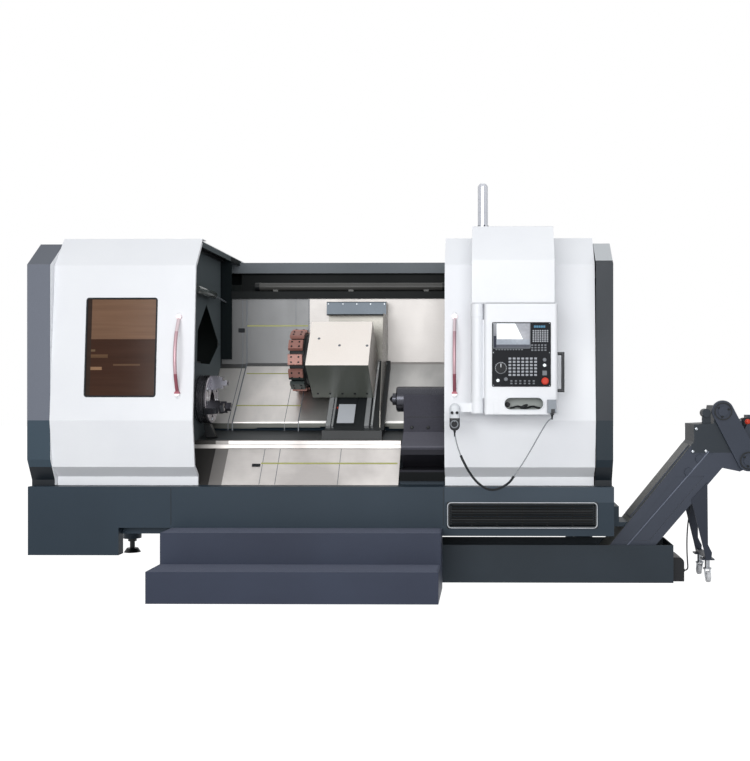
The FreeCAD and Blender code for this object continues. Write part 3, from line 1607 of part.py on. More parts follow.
def make_control_box():
    body = new_body("control_box")
    front = -d.box_front
    pivot = (d.pivot_x, -d.pivot_front)
    low = d.lower_knuckle_high + 0.3
    high = d.upper_knuckle_low - 0.3
    add(body, "z", d.box_low, d.box_high, rectangle(d.box_left, front, d.box_right, -d.box_back))
    fillet(body, lambda e: runs_along(e, "z"), d.box_edge)
    # room for the electronics above the recess, open at the top under the arm
    cut(body, "z", d.slot_high + 12, d.box_high,
        rectangle(d.box_left + 10, front + d.switch_depth + 6, d.box_right - 10, -d.box_back - 10))
    # web and barrel that swing on the arm's pin
    add(body, "z", low + 20, high - 20,
        rectangle(d.pivot_x, -d.pivot_front - 20, d.box_left + 10, -d.pivot_front + 20))
    add(body, "z", low, high, circle=(*pivot, d.knuckle_diameter / 2 - 2))
    cut(body, "z", low, high, circle=(*pivot, d.pivot_pin / 2 + d.running_fit))
    # round-ended recess below the panel
    round_end = (d.slot_high - d.slot_low) / 2
    slot_z = (d.slot_high + d.slot_low) / 2
    cut(body, "y", front, front + d.slot_depth,
        rectangle(d.slot_left + round_end, d.slot_low, d.slot_right - round_end, d.slot_high))
    for x in (d.slot_left + round_end, d.slot_right - round_end):
        cut(body, "y", front, front + d.slot_depth, circle=(x, slot_z, round_end))
    switch_holes(body, front, front + d.switch_depth)
    # pull handle on the right-hand side
    bar = d.side_handle_bar / 2
    bar_x = d.box_right + d.side_handle_reach - bar
    middle = (d.box_front + d.box_back) / 2
    for z in (d.side_handle_low, d.side_handle_high):
        add(body, "x", d.box_right - 1, bar_x, circle=(-middle, z, bar))
    add(body, "z", d.side_handle_low - bar, d.side_handle_high + bar, circle=(bar_x, -middle, bar))


def make_control_panel():
    body = new_body("control_panel")
    back = -d.box_front
    face = back - d.panel_thick
    add(body, "y", face, back, rectangle(d.panel_left, d.panel_low, d.panel_right, d.panel_high))
    fillet(body, lambda e: runs_along(e, "y"), 8)
    cut(body, "y", face, face + 2, rectangle(d.screen_left, d.screen_low, d.screen_right, d.screen_high))
    switch_holes(body, face, back)


def make_switches():
    face = -d.box_front - d.panel_thick
    stem_end = face + d.panel_thick + d.switch_depth - d.estop_travel - 1

    dial = [
        cylinder("dial_cap", d.dial_x, face - d.dial_height - 0.4, d.dial_z,
                 d.dial_radius, d.dial_height, "y"),
        cylinder("dial_stem", d.dial_x, face - 2, d.dial_z, d.dial_stem, stem_end - face + 2, "y"),
        block("dial_grip", d.dial_x - 5, face - d.dial_height - 9, d.dial_z - d.dial_radius * 0.9,
              d.dial_x + 5, face - d.dial_height, d.dial_z + d.dial_radius * 0.9),
    ]
    fuse_node("override_dial", dial)

    gap = d.estop_travel + 1
    cap = size(14)
    estop = [
        cylinder("estop_cap", d.estop_x, face - gap - cap, d.estop_z, d.estop_radius, cap, "y"),
        cylinder("estop_crown", d.estop_x, face - gap - cap, d.estop_z, d.estop_radius, 5, "-y",
                 cone=d.estop_radius * 0.7),
        cylinder("estop_stem", d.estop_x, face - gap - 1, d.estop_z,
                 d.estop_stem, stem_end - face + gap + 1, "y"),
    ]
    fuse_node("estop_button", estop)

    for name, x, z in (("power_button", d.power_x, d.power_z), ("cycle_button", d.cycle_x, d.cycle_z)):
        stand = d.button_travel + 2.5
        button = [
            cylinder(name + "_stem", x, face - stand, z, d.button_radius, stem_end - face + stand, "y"),
            cylinder(name + "_crown", x, face - stand, z, d.button_radius, 1.5, "-y",
                     cone=d.button_radius - 2),
        ]
        fuse_node(name, button)


def fuse_node(name, parts):
    """One node fused of primitives that are drawn in place."""
    whole = fuse(name, parts)
    place(whole)
    keep(name, whole)


def make_connector():
    parts = [
        block("connector_shell", d.connector_left, -d.box_front - d.connector_reach, d.connector_low,
              d.connector_right, -d.box_front, d.connector_high),
        cylinder("connector_gland_nut", d.connector_x, -d.box_front - d.connector_reach / 2,
                 d.connector_tip, d.connector_gland / 2, d.connector_low - d.connector_tip + 1, "z"),
    ]
    fuse_node("cable_connector", parts)


def make_pendant():
    body = new_body("mpg_pendant")
    left = d.pendant_x - d.pendant_width / 2
    right = d.pendant_x + d.pendant_width / 2
    front = -d.pendant_front
    add(body, "y", front, -d.pendant_back, rectangle(left, d.pendant_low, right, d.pendant_high))
    fillet(body, lambda e: runs_along(e, "y"), 10)
    for x, z, radius in pendant_controls():
        cut(body, "y", front, front + 16, circle=(x, z, radius + d.switch_gap))
    # gland at the cable's exit
    middle = -(d.pendant_front + d.pendant_back) / 2
    add(body, "z", d.pendant_low - 10, d.pendant_low + 1, circle=(d.pendant_x, middle, d.cable_diameter))

    names = ("mpg_wheel", "mpg_axis_knob", "mpg_scale_knob")
    for name, (x, z, stem) in zip(names, pendant_controls()):
        cap = d.wheel_radius if name == "mpg_wheel" else d.knob_radius
        high = size(14)
        parts = [
            cylinder(name + "_cap", x, front - high - 0.4, z, cap, high, "y"),
            cylinder(name + "_stem", x, front - 2, z, stem, 16, "y"),
        ]
        if name == "mpg_wheel":
            parts.append(cylinder(name + "_grip", x, front - high, z + cap * 0.62, 6, 14, "-y"))
        else:
            parts.append(block(name + "_pointer", x - 2.5, front - high - 4, z - cap * 0.8,
                               x + 2.5, front - high, z + cap * 0.8))
        fuse_node(name, parts)


def pendant_controls():
    """Place and stem radius of the pendant's wheel and two knobs."""
    return (
        (d.pendant_x, d.wheel_z, size(6)),
        (d.pendant_x - d.knob_spread, d.knob_z, size(4)),
        (d.pendant_x + d.knob_spread, d.knob_z, size(4)),
    )


# ---------------------------------------------------------------- cables

def bent_path(points):
    """Lines joined by arcs through points (u, v), each arc as large as its runs allow."""
    points = [FreeCAD.Vector(u, v, 0) for u, v in points]
    pieces = []
    start = points[0]
    for before, corner, after in zip(points, points[1:], points[2:]):
        into = corner - before
        out = after - corner
        half = into.getAngle(out) / 2
        if half < 0.01:
            continue
        trim = 0.45 * min(into.Length, out.Length)
        first = corner - into.normalize() * trim
        last = corner + out.normalize() * trim
        # the arc's crown lies on the bisector
        inward = (out - into).normalize()
        radius = trim / math.tan(half)
        crown = corner + inward * (radius / math.cos(half) - radius)
        pieces.append(Part.LineSegment(start, first))
        pieces.append(Part.Arc(first, crown, last))
        start = last
    pieces.append(Part.LineSegment(start, points[-1]))
    return pieces


def sweep_round(body, points, radius):
    """A round cable along points (x, z) in the body's own XZ plane."""
    path = flat_sketch(body, "y", 0)
    for piece in bent_path(points):
        at = path.addGeometry(piece, False)
        path.addConstraint(Sketcher.Constraint("Block", at))
    (x0, z0), (x1, z1) = points[:2]
    section = body.newObject("Sketcher::SketchObject", body.Name + "_section")
    section.Placement = FreeCAD.Placement(
        FreeCAD.Vector(x0, 0, z0),
        FreeCAD.Rotation(FreeCAD.Vector(0, 0, 1), FreeCAD.Vector(x1 - x0, 0, z1 - z0)))
    draw_circle(section, 0, 0, radius)
    pipe = body.newObject("PartDesign::AdditivePipe", body.Name + "_pipe")
    pipe.Profile = section
    pipe.Spine = (path, [])
    return pipe


def make_pendant_cable():
    start_y = -(d.pendant_front + d.pendant_back) / 2
    end_y = -d.box_front - d.connector_reach / 2
    start_z = d.pendant_low - 10
    run_x = (d.connector_x - d.pendant_x).value
    run_y = (end_y - start_y).value
    run = math.hypot(run_x, run_y)
    rise = (d.connector_tip - 0.3 - start_z).value
    # hanging loop as shares of the run, with drops measured from the pendant's end
    loop = (
        (0.0, 0), (0.004, -45), (0.048, -147), (0.121, -248), (0.207, -332), (0.302, -383),
        (0.396, -400), (0.491, -378), (0.569, -344), (0.612, -299), (0.698, -220),
        (0.784, -125), (0.870, -24), (0.956, 72), (1.0, rise - 22), (1.0, rise),
    )
    route = [(share * run, drop) for share, drop in loop]
    body = new_body("pendant_cable")
    heading = math.degrees(math.atan2(run_y, run_x))
    place(body, d.pendant_x, start_y, start_z, FreeCAD.Vector(0, 0, 1), heading)
    sweep_round(body, route, d.cable_diameter / 2)
    # corrugated sleeve over the lower part of the loop
    sweep_round(body, route[2:10], d.sleeve_diameter / 2)


def make_conveyor_cable():
    body = new_body("conveyor_cable")
    place(body, 0, d.conveyor_front + 70, 0)
    top_x = d.cable_exit_x.value
    top_z = d.cable_exit_z.value
    end_x = d.tray_right.value + d.tray_foot_reach.value + 10
    end_z = d.cable_gland_z.value
    drop = top_z - end_z
    shares = ((0, 0.0), (0, 0.05), (-10, 0.2), (-19, 0.36), (-23, 0.52), (-23, 0.7), (-19, 0.86))
    route = [(top_x + shift, top_z - drop * share) for shift, share in shares]
    route += [(end_x + 26, end_z), (end_x, end_z)]
    sweep_round(body, route, d.conveyor_cable / 2)


# ---------------------------------------------------------------- chip conveyor

def make_tray():
    body = new_body("conveyor_tray")
    t = d.tray_sheet
    add(body, "x", d.tray_left, d.tray_right, rectangle(d.tray_front, 0, d.tray_back, d.tray_high))
    cut(body, "x", d.tray_left + t, d.tray_right - t,
        rectangle(d.tray_front + t, t, d.tray_back - t, d.tray_high))
    # rounded end bracket with the gland of the conveyor's cable
    end = d.tray_right + d.tray_foot_reach
    add(body, "x", d.tray_right - 1, end,
        rectangle(d.conveyor_front + 30, 0, d.conveyor_back - 30, d.tray_foot_high))
    fillet(body, lambda e: runs_along(e, "y") and e.Vertexes[0].Point.x > end.value - 0.01
           and e.Vertexes[0].Point.z > 1, 40)
    add(body, "x", end - 1, end + 10, circle=(d.conveyor_front + 70, d.cable_gland_z, 11))


def under_x(z):
    """Where the conveyor's incline reaches a height on its underside."""
    run = (d.incline_under_x - d.incline_under_start) / (d.incline_under_z - d.tray_sheet)
    return d.incline_under_start + (size(z) - d.tray_sheet) * run


def make_conveyor():
    body = new_body("conveyor_body")
    low = d.tray_sheet
    add(body, "y", d.conveyor_front, d.conveyor_back, [
        (d.conveyor_left, low),
        (d.conveyor_left, d.conveyor_deck),
        (d.incline_start, d.conveyor_deck),
        (d.incline_top_x, d.incline_top_z),
        (d.incline_top_x, d.incline_top_z + 124),
        (d.guard_top_x - 62, d.incline_top_z + 130),
        (d.guard_top_x - 38, d.guard_top_z + 39),
        (d.guard_top_x + 52, d.guard_top_z + 39),
        *head_face(),
        (d.guard_low_x + 33, d.guard_low_z - 41),
        (d.guard_low_x - 57, d.guard_low_z - 81),
        (d.incline_under_x, d.incline_under_z),
        (d.incline_under_start, low),
    ])
    # hollow inside its sheet, from the trough up to the head
    skin = d.conveyor_sheet
    cut(body, "y", d.conveyor_front + skin, d.conveyor_back - skin, [
        (d.conveyor_left + skin, low + skin),
        (d.conveyor_left + skin, d.conveyor_deck - skin),
        (d.incline_start + skin * 0.6, d.conveyor_deck - skin),
        (d.incline_top_x + skin, d.incline_top_z - skin * 0.4),
        (d.incline_top_x + skin, d.incline_top_z + 114),
        (d.guard_top_x - 54, d.incline_top_z + 121),
        (d.guard_top_x - 31, d.guard_top_z + 29),
        (d.guard_top_x + 46, d.guard_top_z + 29),
        (d.guard_top_x + 107, d.guard_top_z - 50),
        (d.guard_low_x + 47, d.guard_low_z + 47),
        (d.guard_low_x + 25, d.guard_low_z - 33),
        (d.guard_low_x - 57, d.guard_low_z - 70),
        (d.incline_under_x - 4, d.incline_under_z + skin),
        (d.incline_under_start - skin * 0.5, low + skin),
    ])
    # trough that the chips fall into, over the belt with its cleats
    cut(body, "z", d.conveyor_deck - skin - 1, d.conveyor_deck,
        rectangle(d.conveyor_left + 80, d.conveyor_front + skin + 5,
                  d.incline_start - 120, d.conveyor_back - skin - 5))
    add(body, "y", d.conveyor_front + skin - 1, d.conveyor_back - skin + 1,
        rectangle(d.conveyor_left + 60, d.belt_high - 6, d.incline_start - 60, d.belt_high))
    cleat = add(body, "x", d.conveyor_left + 180, d.conveyor_left + 186, rectangle(
        d.conveyor_front + skin + 8, d.belt_high - 1, d.conveyor_back - skin - 8, d.belt_high + 35))
    repeat_along(body, cleat, "X_Axis", 11 * 225, 12)
    # side channels sunk into the incline's flanks
    for near, far in ((d.conveyor_front, d.conveyor_front + 5), (d.conveyor_back - 5, d.conveyor_back)):
        cut(body, "y", near, far, [
            between(0.22, 300),
            between(0.78, 300),
            between(0.78, d.incline_under_z - 60),
            between(0.22, d.incline_under_z - 60),
        ])
    # cover strip along the incline's upper side
    start = incline_x(d.bracket_foot) + 20
    end = d.incline_top_x - 30
    climb = (d.incline_top_z - d.conveyor_deck) / (d.incline_top_x - d.incline_start)
    add(body, "y", d.conveyor_front + 50, d.conveyor_back - 50, [
        (start, d.conveyor_deck + (start - d.incline_start) * climb - 1),
        (end, d.conveyor_deck + (end - d.incline_start) * climb - 1),
        (end, d.conveyor_deck + (end - d.incline_start) * climb + 16),
        (start, d.conveyor_deck + (start - d.incline_start) * climb + 16),
    ])
    # chain tensioner on the head's roof
    tension_x, tension_z = d.guard_top_x - 112, d.guard_top_z - 14
    add(body, "y", d.conveyor_front + 20, d.conveyor_front + 44, rectangle(
        tension_x - 26, d.incline_top_z + 118, tension_x + 34, tension_z))
    add(body, "y", d.conveyor_front, d.conveyor_front + 92, circle=(tension_x, tension_z, 31))
    # chip outlet in the head's underside and the cable's gland
    cut(body, "z", d.guard_low_z - 90, d.guard_low_z + 60, rectangle(
        d.incline_under_x + 40, d.conveyor_front + 25, d.guard_low_x + 15, d.conveyor_back - 25))
    add(body, "z", d.cable_exit_z, d.cable_exit_z + 24, circle=(d.cable_exit_x, d.conveyor_front + 70, 11))


def between(share, z):
    """A point across the incline, from its upper side (0) to its underside (1)."""
    top = incline_x(z)
    return (top + (under_x(z) - top) * share, z)


def head_face():
    """The two corners of the slanted face that carries the gear motor."""
    return (
        (d.guard_top_x + 117, d.guard_top_z - 46),
        (d.guard_low_x + 58, d.guard_low_z + 49),
    )


def make_chain_guard():
    body = new_body("chain_guard")
    near = d.conveyor_front - d.guard_thick
    far = d.conveyor_front
    top = (d.guard_top_x, d.guard_top_z)
    low = (d.guard_low_x, d.guard_low_z)
    along = (low[0].value - top[0].value, low[1].value - top[1].value)
    length = math.hypot(*along)
    side = (-along[1] / length, along[0] / length)
    r = d.guard_radius
    add(body, "y", near, far, [
        (top[0] + r * side[0], top[1] + r * side[1]),
        (low[0] + r * side[0], low[1] + r * side[1]),
        (low[0] - r * side[0], low[1] - r * side[1]),
        (top[0] - r * side[0], top[1] - r * side[1]),
    ])
    for x, z in (top, low):
        add(body, "y", near, far, circle=(x, z, r))
        add(body, "y", near - 10, near + 1, circle=(x, z, d.guard_boss))


def make_gear_motor():
    body = new_body("gear_motor")
    (x0, z0), (x1, z1) = head_face()
    dx, dz = (x1 - x0).value, (z1 - z0).value
    length = math.hypot(dx, dz)
    out = (-dz / length * 70, dx / length * 70)
    low, high = 0.15, 0.75
    corner_a = (x0 + (x1 - x0) * low, z0 + (z1 - z0) * low)
    corner_b = (x0 + (x1 - x0) * high, z0 + (z1 - z0) * high)
    add(body, "y", d.motor_front + 30, d.motor_front + 170, [
        corner_a,
        corner_b,
        (corner_b[0] + out[0], corner_b[1] + out[1]),
        (corner_a[0] + out[0], corner_a[1] + out[1]),
    ])
    add(body, "y", d.motor_front, d.motor_back, circle=(d.motor_x, d.motor_z, d.motor_radius))
    # fan cowl and terminal box
    add(body, "y", d.motor_back - 1, d.motor_back + 26, circle=(d.motor_x, d.motor_z, d.motor_radius - 7))
    add(body, "y", d.motor_front + 60, d.motor_front + 170, rectangle(
        d.motor_x - 40, d.motor_z + d.motor_radius * 0.5, d.motor_x + 40, d.motor_z + d.motor_radius + 42))


def make_support_leg():
    body = new_body("support_leg")
    t = d.leg_plate
    front = d.conveyor_front - t
    back = d.conveyor_back + t
    x = d.caster_x
    foot = d.leg_foot_z
    plate = [
        (x - 124, foot + 430),
        (x - 8, foot + 554),
        (x - 4, foot + 105),
        (x + 25, foot + 47),
        (x + 20, foot),
        (x - 20, foot),
        (x - 37, foot + 76),
    ]
    add(body, "y", front, front + t, plate)
    # cross tube and the two foot plates for the casters
    add(body, "y", front, back, rectangle(x - 20, foot, x + 20, foot + 24))
    add(body, "y", back - t, back, plate)
    for y in caster_rows():
        add(body, "z", foot - 8, foot + 1, rectangle(x - 44, y - 44, x + 44, y + 44))
        cut(body, "z", foot - 8, foot + 24, circle=(x, y, d.caster_stem + d.running_fit))


def caster_rows():
    """Depths of the two casters' swivel axes."""
    return (d.conveyor_front - d.leg_plate + d.caster_inset, d.conveyor_back + d.leg_plate - d.caster_inset)


def make_casters():
    x = d.caster_x
    half = d.caster_width / 2
    axle_z = d.caster_wheel
    for number, (y, trail) in enumerate(zip(caster_rows(), (-d.caster_trail, d.caster_trail)), 1):
        fork = new_body(f"caster_fork_{number}")
        crown = axle_z + d.caster_wheel + 12
        top = d.leg_foot_z - 8.3
        add(fork, "z", crown, crown + 8, circle=(x, y, half + 15))
        add(fork, "z", crown, top, circle=(x, y, d.caster_stem + 8))
        add(fork, "z", top - 1, top + 28, circle=(x, y, d.caster_stem))
        for side in (-1, 1):
            near = x + (half + 1.5) * side
            far = x + (half + 6.5) * side
            low, high = (near, far) if side > 0 else (far, near)
            add(fork, "x", low, high, [
                (y - 18, crown + 1),
                (y + 18, crown + 1),
                (y + trail + 9, axle_z - 9),
                (y + trail - 9, axle_z - 9),
            ])
        add(fork, "x", x - half - 7, x + half + 7, circle=(y + trail, axle_z, d.caster_axle / 2))
        wheel = new_body(f"caster_wheel_{number}")
        place(wheel, x, y + trail, axle_z)
        bore = d.caster_axle / 2 + d.running_fit
        r = d.caster_wheel
        turn(wheel, [
            (-half, bore),
            (half, bore),
            (half, r * 0.4),
            (half - 5, r * 0.45),
            (half - 5, r * 0.72),
            (half, r * 0.76),
            (half, r - 4),
            (half - 4, r),
            (-half + 4, r),
            (-half, r - 4),
            (-half, r * 0.76),
            (-half + 5, r * 0.72),
            (-half + 5, r * 0.45),
            (-half, r * 0.4),
        ])


# ---------------------------------------------------------------- build and export

for make in (
        make_base, make_leveling_mounts, make_steps, make_grille, make_end_covers,
        make_headstock_hood, make_tail_hood, make_rear_cover, make_cabinet_door, make_top_beam,
        make_work_light, make_splash_apron, make_way_covers, make_headstock, make_spindle,
        make_chuck, make_jaws, make_saddle, make_slide_rails, make_turret_housing,
        make_slide_guard, make_turret, make_tool_blocks, make_tailstock, make_quill,
        make_doors, make_control_arm, make_tower_light, make_control_box, make_control_panel,
        make_switches, make_connector, make_pendant, make_pendant_cable, make_conveyor_cable,
        make_tray, make_conveyor, make_chain_guard, make_gear_motor, make_support_leg,
        make_casters):
    make()

doc.recompute()

for thing in doc.Objects:
    if any(state in ("Invalid", "Error") for state in thing.State):
        raise RuntimeError(f"{thing.Label} did not recompute")
for name, thing in nodes.items():
    if thing.Shape.isNull() or not thing.Shape.isValid():
        raise RuntimeError(f"{name} has no valid shape")

os.makedirs("parts", exist_ok=True)
for name, thing in nodes.items():
    thing.Shape.exportStep(f"parts/{name}.step")
print(len(nodes), "parts written")
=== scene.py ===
import math
import bpy
import bmesh
import numpy as np
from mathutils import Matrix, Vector


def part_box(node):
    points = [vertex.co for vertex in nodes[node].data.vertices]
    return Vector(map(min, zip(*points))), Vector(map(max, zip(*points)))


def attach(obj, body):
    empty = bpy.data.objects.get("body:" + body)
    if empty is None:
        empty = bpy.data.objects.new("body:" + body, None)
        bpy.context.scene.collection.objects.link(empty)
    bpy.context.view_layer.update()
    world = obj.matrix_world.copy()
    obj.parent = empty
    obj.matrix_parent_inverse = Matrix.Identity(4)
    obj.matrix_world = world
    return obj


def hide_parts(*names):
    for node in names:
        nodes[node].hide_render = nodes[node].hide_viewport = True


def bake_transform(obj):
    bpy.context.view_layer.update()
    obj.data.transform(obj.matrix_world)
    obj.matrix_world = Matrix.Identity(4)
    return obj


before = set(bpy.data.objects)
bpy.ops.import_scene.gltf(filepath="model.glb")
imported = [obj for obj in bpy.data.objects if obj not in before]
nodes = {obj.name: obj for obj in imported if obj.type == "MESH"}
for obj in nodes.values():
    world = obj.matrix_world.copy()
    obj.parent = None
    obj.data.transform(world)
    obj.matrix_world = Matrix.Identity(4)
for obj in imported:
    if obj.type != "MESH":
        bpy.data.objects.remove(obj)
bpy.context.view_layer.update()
outline = {"middleX": 2631.5, "middleY": 759.25}  # middle of the machine's outline, mm from the base's front left


def toFrame(points):
    # machine millimetres to frame metres: take the outline's middle off, then divide by a thousand
    return (np.asarray(points, float) - [outline["middleX"], outline["middleY"], 0.0]) / 1000.0


def fromFrame(points):
    # frame metres back to machine millimetres
    return np.asarray(points, float) * 1000.0 + [outline["middleX"], outline["middleY"], 0.0]


camera = {
    "place": (3252.0, -7050.0, 1392.0),  # chest height, straight out from the edge of the right door
    "turnLeft": 0.65,                    # degrees
    "lens": 47.57,                       # mm
    "shiftX": -0.1352,
    "shiftY": 0.0119,
    "farthest": 200.0,
}

studio = {
    "floorHalf": 30.0,                   # half the floor's side, m
    "floorTone": (0.36, 0.36, 0.37),
    "floorRough": 0.9,
    "floorShow": 0.86,                   # share of the floor that shows as plain white
    "floorGlow": 1.25,                   # with the shader's share, a lit floor is white
    "skyTone": (0.95, 0.97, 1.0),
    "skyStrength": 0.49,
    "groundTone": (0.16, 0.17, 0.18),
    "horizon": (-0.35, 0.25),            # heights between which the ground's tone turns into the sky's
    # name, place, what it points at, size and energy
    "lamps": (("keyLamp", (-0.6, -9.0, 2.9), (-0.2, 0.0, 1.2), (8.0, 3.5), 500.0),
              ("topLamp", (0.4, 0.2, 6.5), (0.0, 0.2, 0.0), (8.0, 5.0), 30.0),
              ("sideLamp", (8.0, -2.5, 3.5), (1.5, 0.0, 1.2), (3.0, 3.0), 10.0)),
}


def addCamera(values):
    data = bpy.data.cameras.new("photoView")
    data.lens = values["lens"]
    data.shift_x = values["shiftX"]
    data.shift_y = values["shiftY"]
    data.clip_end = values["farthest"]
    view = bpy.data.objects.new("photoView", data)
    view.location = toFrame(values["place"])
    view.rotation_euler = (math.radians(90), 0, math.radians(values["turnLeft"]))
    bpy.context.collection.objects.link(view)
    bpy.context.scene.camera = view


def addLamp(name, place, target, size, energy):
    data = bpy.data.lights.new(name, "AREA")
    data.shape = "RECTANGLE"
    data.size, data.size_y = size
    data.energy = energy
    lamp = bpy.data.objects.new(name, data)
    lamp.location = place
    lamp.rotation_euler = (Vector(target) - Vector(place)).to_track_quat("-Z", "Y").to_euler()
    bpy.context.collection.objects.link(lamp)


def node(tree, kind, values=None, **settings):
    # one shader node with its settings; a socket among the values is linked, anything else is set
    made = tree.nodes.new(kind)
    for key, value in settings.items():
        setattr(made, key, value)
    for key, value in (values or {}).items():
        if isinstance(value, bpy.types.NodeSocket):
            tree.links.new(value, made.inputs[key])
        else:
            made.inputs[key].default_value = value
    return made


def maths(tree, operation, first, second):
    return node(tree, "ShaderNodeMath", {0: first, 1: second}, operation=operation).outputs[0]


def plainRays(tree):
    # one for a ray that shows the surroundings: from the camera, off gloss or through glass
    rays = node(tree, "ShaderNodeLightPath").outputs
    seen = maths(tree, "MAXIMUM", rays["Is Camera Ray"], rays["Is Glossy Ray"])
    return maths(tree, "MAXIMUM", seen, rays["Is Transmission Ray"])


def addStudio(values):
    half = values["floorHalf"]
    mesh = bpy.data.meshes.new("studioFloor")
    mesh.from_pydata([(-half, -half, 0), (half, -half, 0), (half, half, 0), (-half, half, 0)], [], [(0, 1, 2, 3)])
    floor = bpy.data.objects.new("studioFloor", mesh)
    bpy.context.collection.objects.link(floor)
    look = bpy.data.materials.new("studioFloor")
    look.use_nodes = True
    tree = look.node_tree
    shader = tree.nodes["Principled BSDF"]
    shader.inputs["Base Color"].default_value = (*values["floorTone"], 1)
    shader.inputs["Roughness"].default_value = values["floorRough"]
    white = node(tree, "ShaderNodeEmission", {"Strength": values["floorGlow"]})
    share = maths(tree, "MULTIPLY", plainRays(tree), values["floorShow"])
    blend = node(tree, "ShaderNodeMixShader", {0: share, 1: shader.outputs[0], 2: white.outputs[0]})
    tree.links.new(blend.outputs[0], tree.nodes["Material Output"].inputs["Surface"])
    mesh.materials.append(look)

    # a sky that lights from above the horizon and is dim below it, seen as plain white
    world = bpy.data.worlds.new("studioSky")
    bpy.context.scene.world = world
    world.use_nodes = True
    tree = world.node_tree
    split = node(tree, "ShaderNodeSeparateXYZ", {0: node(tree, "ShaderNodeTexCoord").outputs["Generated"]})
    low, high = values["horizon"]
    height = node(tree, "ShaderNodeMapRange", {"Value": split.outputs["Z"], "From Min": low, "From Max": high})
    sky = node(tree, "ShaderNodeMix", {0: height.outputs[0], 6: (*values["groundTone"], 1),
                                       7: (*values["skyTone"], 1)}, data_type="RGBA")
    light = tree.nodes["Background"]
    light.inputs["Strength"].default_value = values["skyStrength"]
    tree.links.new(sky.outputs[2], light.inputs["Color"])
    plain = node(tree, "ShaderNodeBackground", {"Color": (1, 1, 1, 1)})
    blend = node(tree, "ShaderNodeMixShader", {0: plainRays(tree), 1: light.outputs[0], 2: plain.outputs[0]})
    tree.links.new(blend.outputs[0], tree.nodes["World Output"].inputs["Surface"])

    for lamp in values["lamps"]:
        addLamp(*lamp)


addCamera(camera)
addStudio(studio)
bpy.context.scene.view_settings.view_transform = "Standard"
print("camera and studio set")


# shapes: each is (points in machine mm, faces), worked out as whole arrays

def gridShape(points, aroundRows=False, aroundColumns=False, closedEnds=False):
    # quads between neighbouring points of a rows by columns grid, joined round where asked, the end rows filled
    rows, columns = points.shape[:2]
    index = np.arange(rows * columns).reshape(rows, columns)
    if aroundColumns:
        index = np.concatenate([index, index[:, :1]], axis=1)
    if aroundRows:
        index = np.concatenate([index, index[:1]], axis=0)
    quads = np.stack([index[:-1, :-1], index[:-1, 1:], index[1:, 1:], index[1:, :-1]], axis=-1).reshape(-1, 4)
    faces = quads.tolist()
    if closedEnds:
        faces += [index[0, :columns].tolist(), index[rows - 1, :columns].tolist()]
    return points.reshape(-1, 3), faces


def ringSolid(rings):
    # rings with the same number of points, joined one to the next and filled at both ends
    return gridShape(np.array(rings), aroundColumns=True, closedEnds=True)


def standing(loop, y):
    # (across, up) points stood upright at a depth Y, or at a depth for each of them
    return np.column_stack([loop[:, 0], np.broadcast_to(y, len(loop)), loop[:, 1]])


def turned(profile, place, direction, sides=24):
    # profile rows of (radius, height) swept round: place + height along the axis + radius times (cos, sin)
    last = np.asarray(direction, float)
    last = last / np.linalg.norm(last)
    start = np.array([0.0, 0.0, 1.0]) if abs(last[2]) < 0.9 else np.array([1.0, 0.0, 0.0])
    first = np.cross(start, last)
    first = first / np.linalg.norm(first)
    angle = np.linspace(0, 2 * math.pi, sides, endpoint=False)[None, :, None]
    radius, height = np.asarray(profile, float).T
    ring = np.cos(angle) * first + np.sin(angle) * np.cross(last, first)
    points = np.asarray(place, float) + height[:, None, None] * last + radius[:, None, None] * ring
    return gridShape(points, aroundColumns=True)


def alongPath(path, radius, sides=12, closed=False, flat=1.0, facing=(0, -1, 0)):
    # a circle, squeezed by flat along facing, carried along the path's points square to its direction
    path = np.asarray(path, float)
    ahead = np.roll(path, -1, axis=0) - np.roll(path, 1, axis=0) if closed else np.gradient(path, axis=0)
    ahead = ahead / np.linalg.norm(ahead, axis=1, keepdims=True)
    out = np.asarray(facing, float) - (ahead @ np.asarray(facing, float))[:, None] * ahead
    out = out / np.linalg.norm(out, axis=1, keepdims=True)
    across = np.cross(ahead, out)
    angle = np.linspace(0, 2 * math.pi, sides, endpoint=False)[None, :, None]
    radius = np.broadcast_to(np.asarray(radius, float), len(path))[:, None, None]
    points = path[:, None] + radius * (np.cos(angle) * across[:, None] + flat * np.sin(angle) * out[:, None])
    return gridShape(points, aroundRows=closed, aroundColumns=True, closedEnds=not closed)


def prism(section, low, high, axis="x"):
    # a section of two coordinates, drawn from low to high along the axis
    section = np.asarray(section, float)
    ends = [np.insert(section, "xyz".index(axis), value, axis=1) for value in (low, high)]
    return ringSolid(ends)


def slab(low, high):
    # a rectangle's four corners, drawn from the low z to the high z
    return prism([(low[0], low[1]), (high[0], low[1]), (high[0], high[1]), (low[0], high[1])],
                 low[2], high[2], "z")


def slabsAt(xs, corners):
    # the slab between two corners once at each X
    return [slab(*(np.array(corners, float) + [x, 0, 0])) for x in xs]


def copies(shape, places, turns=None):
    # the shape once at each place, each copy turned by its own matrix first
    points, faces = shape
    places = np.asarray(places, float).reshape(-1, 3)
    spun = points[None] if turns is None else np.einsum("nij,pj->npi", np.asarray(turns), points)
    every = (spun + places[:, None]).reshape(-1, 3)
    return every, [[i + k * len(points) for i in face] for k in range(len(places)) for face in faces]


def lattice(xs, ys, zs):
    # every combination of three lists of coordinates, as a list of places
    return np.stack(np.meshgrid(xs, ys, zs, indexing="ij"), axis=-1).reshape(-1, 3)


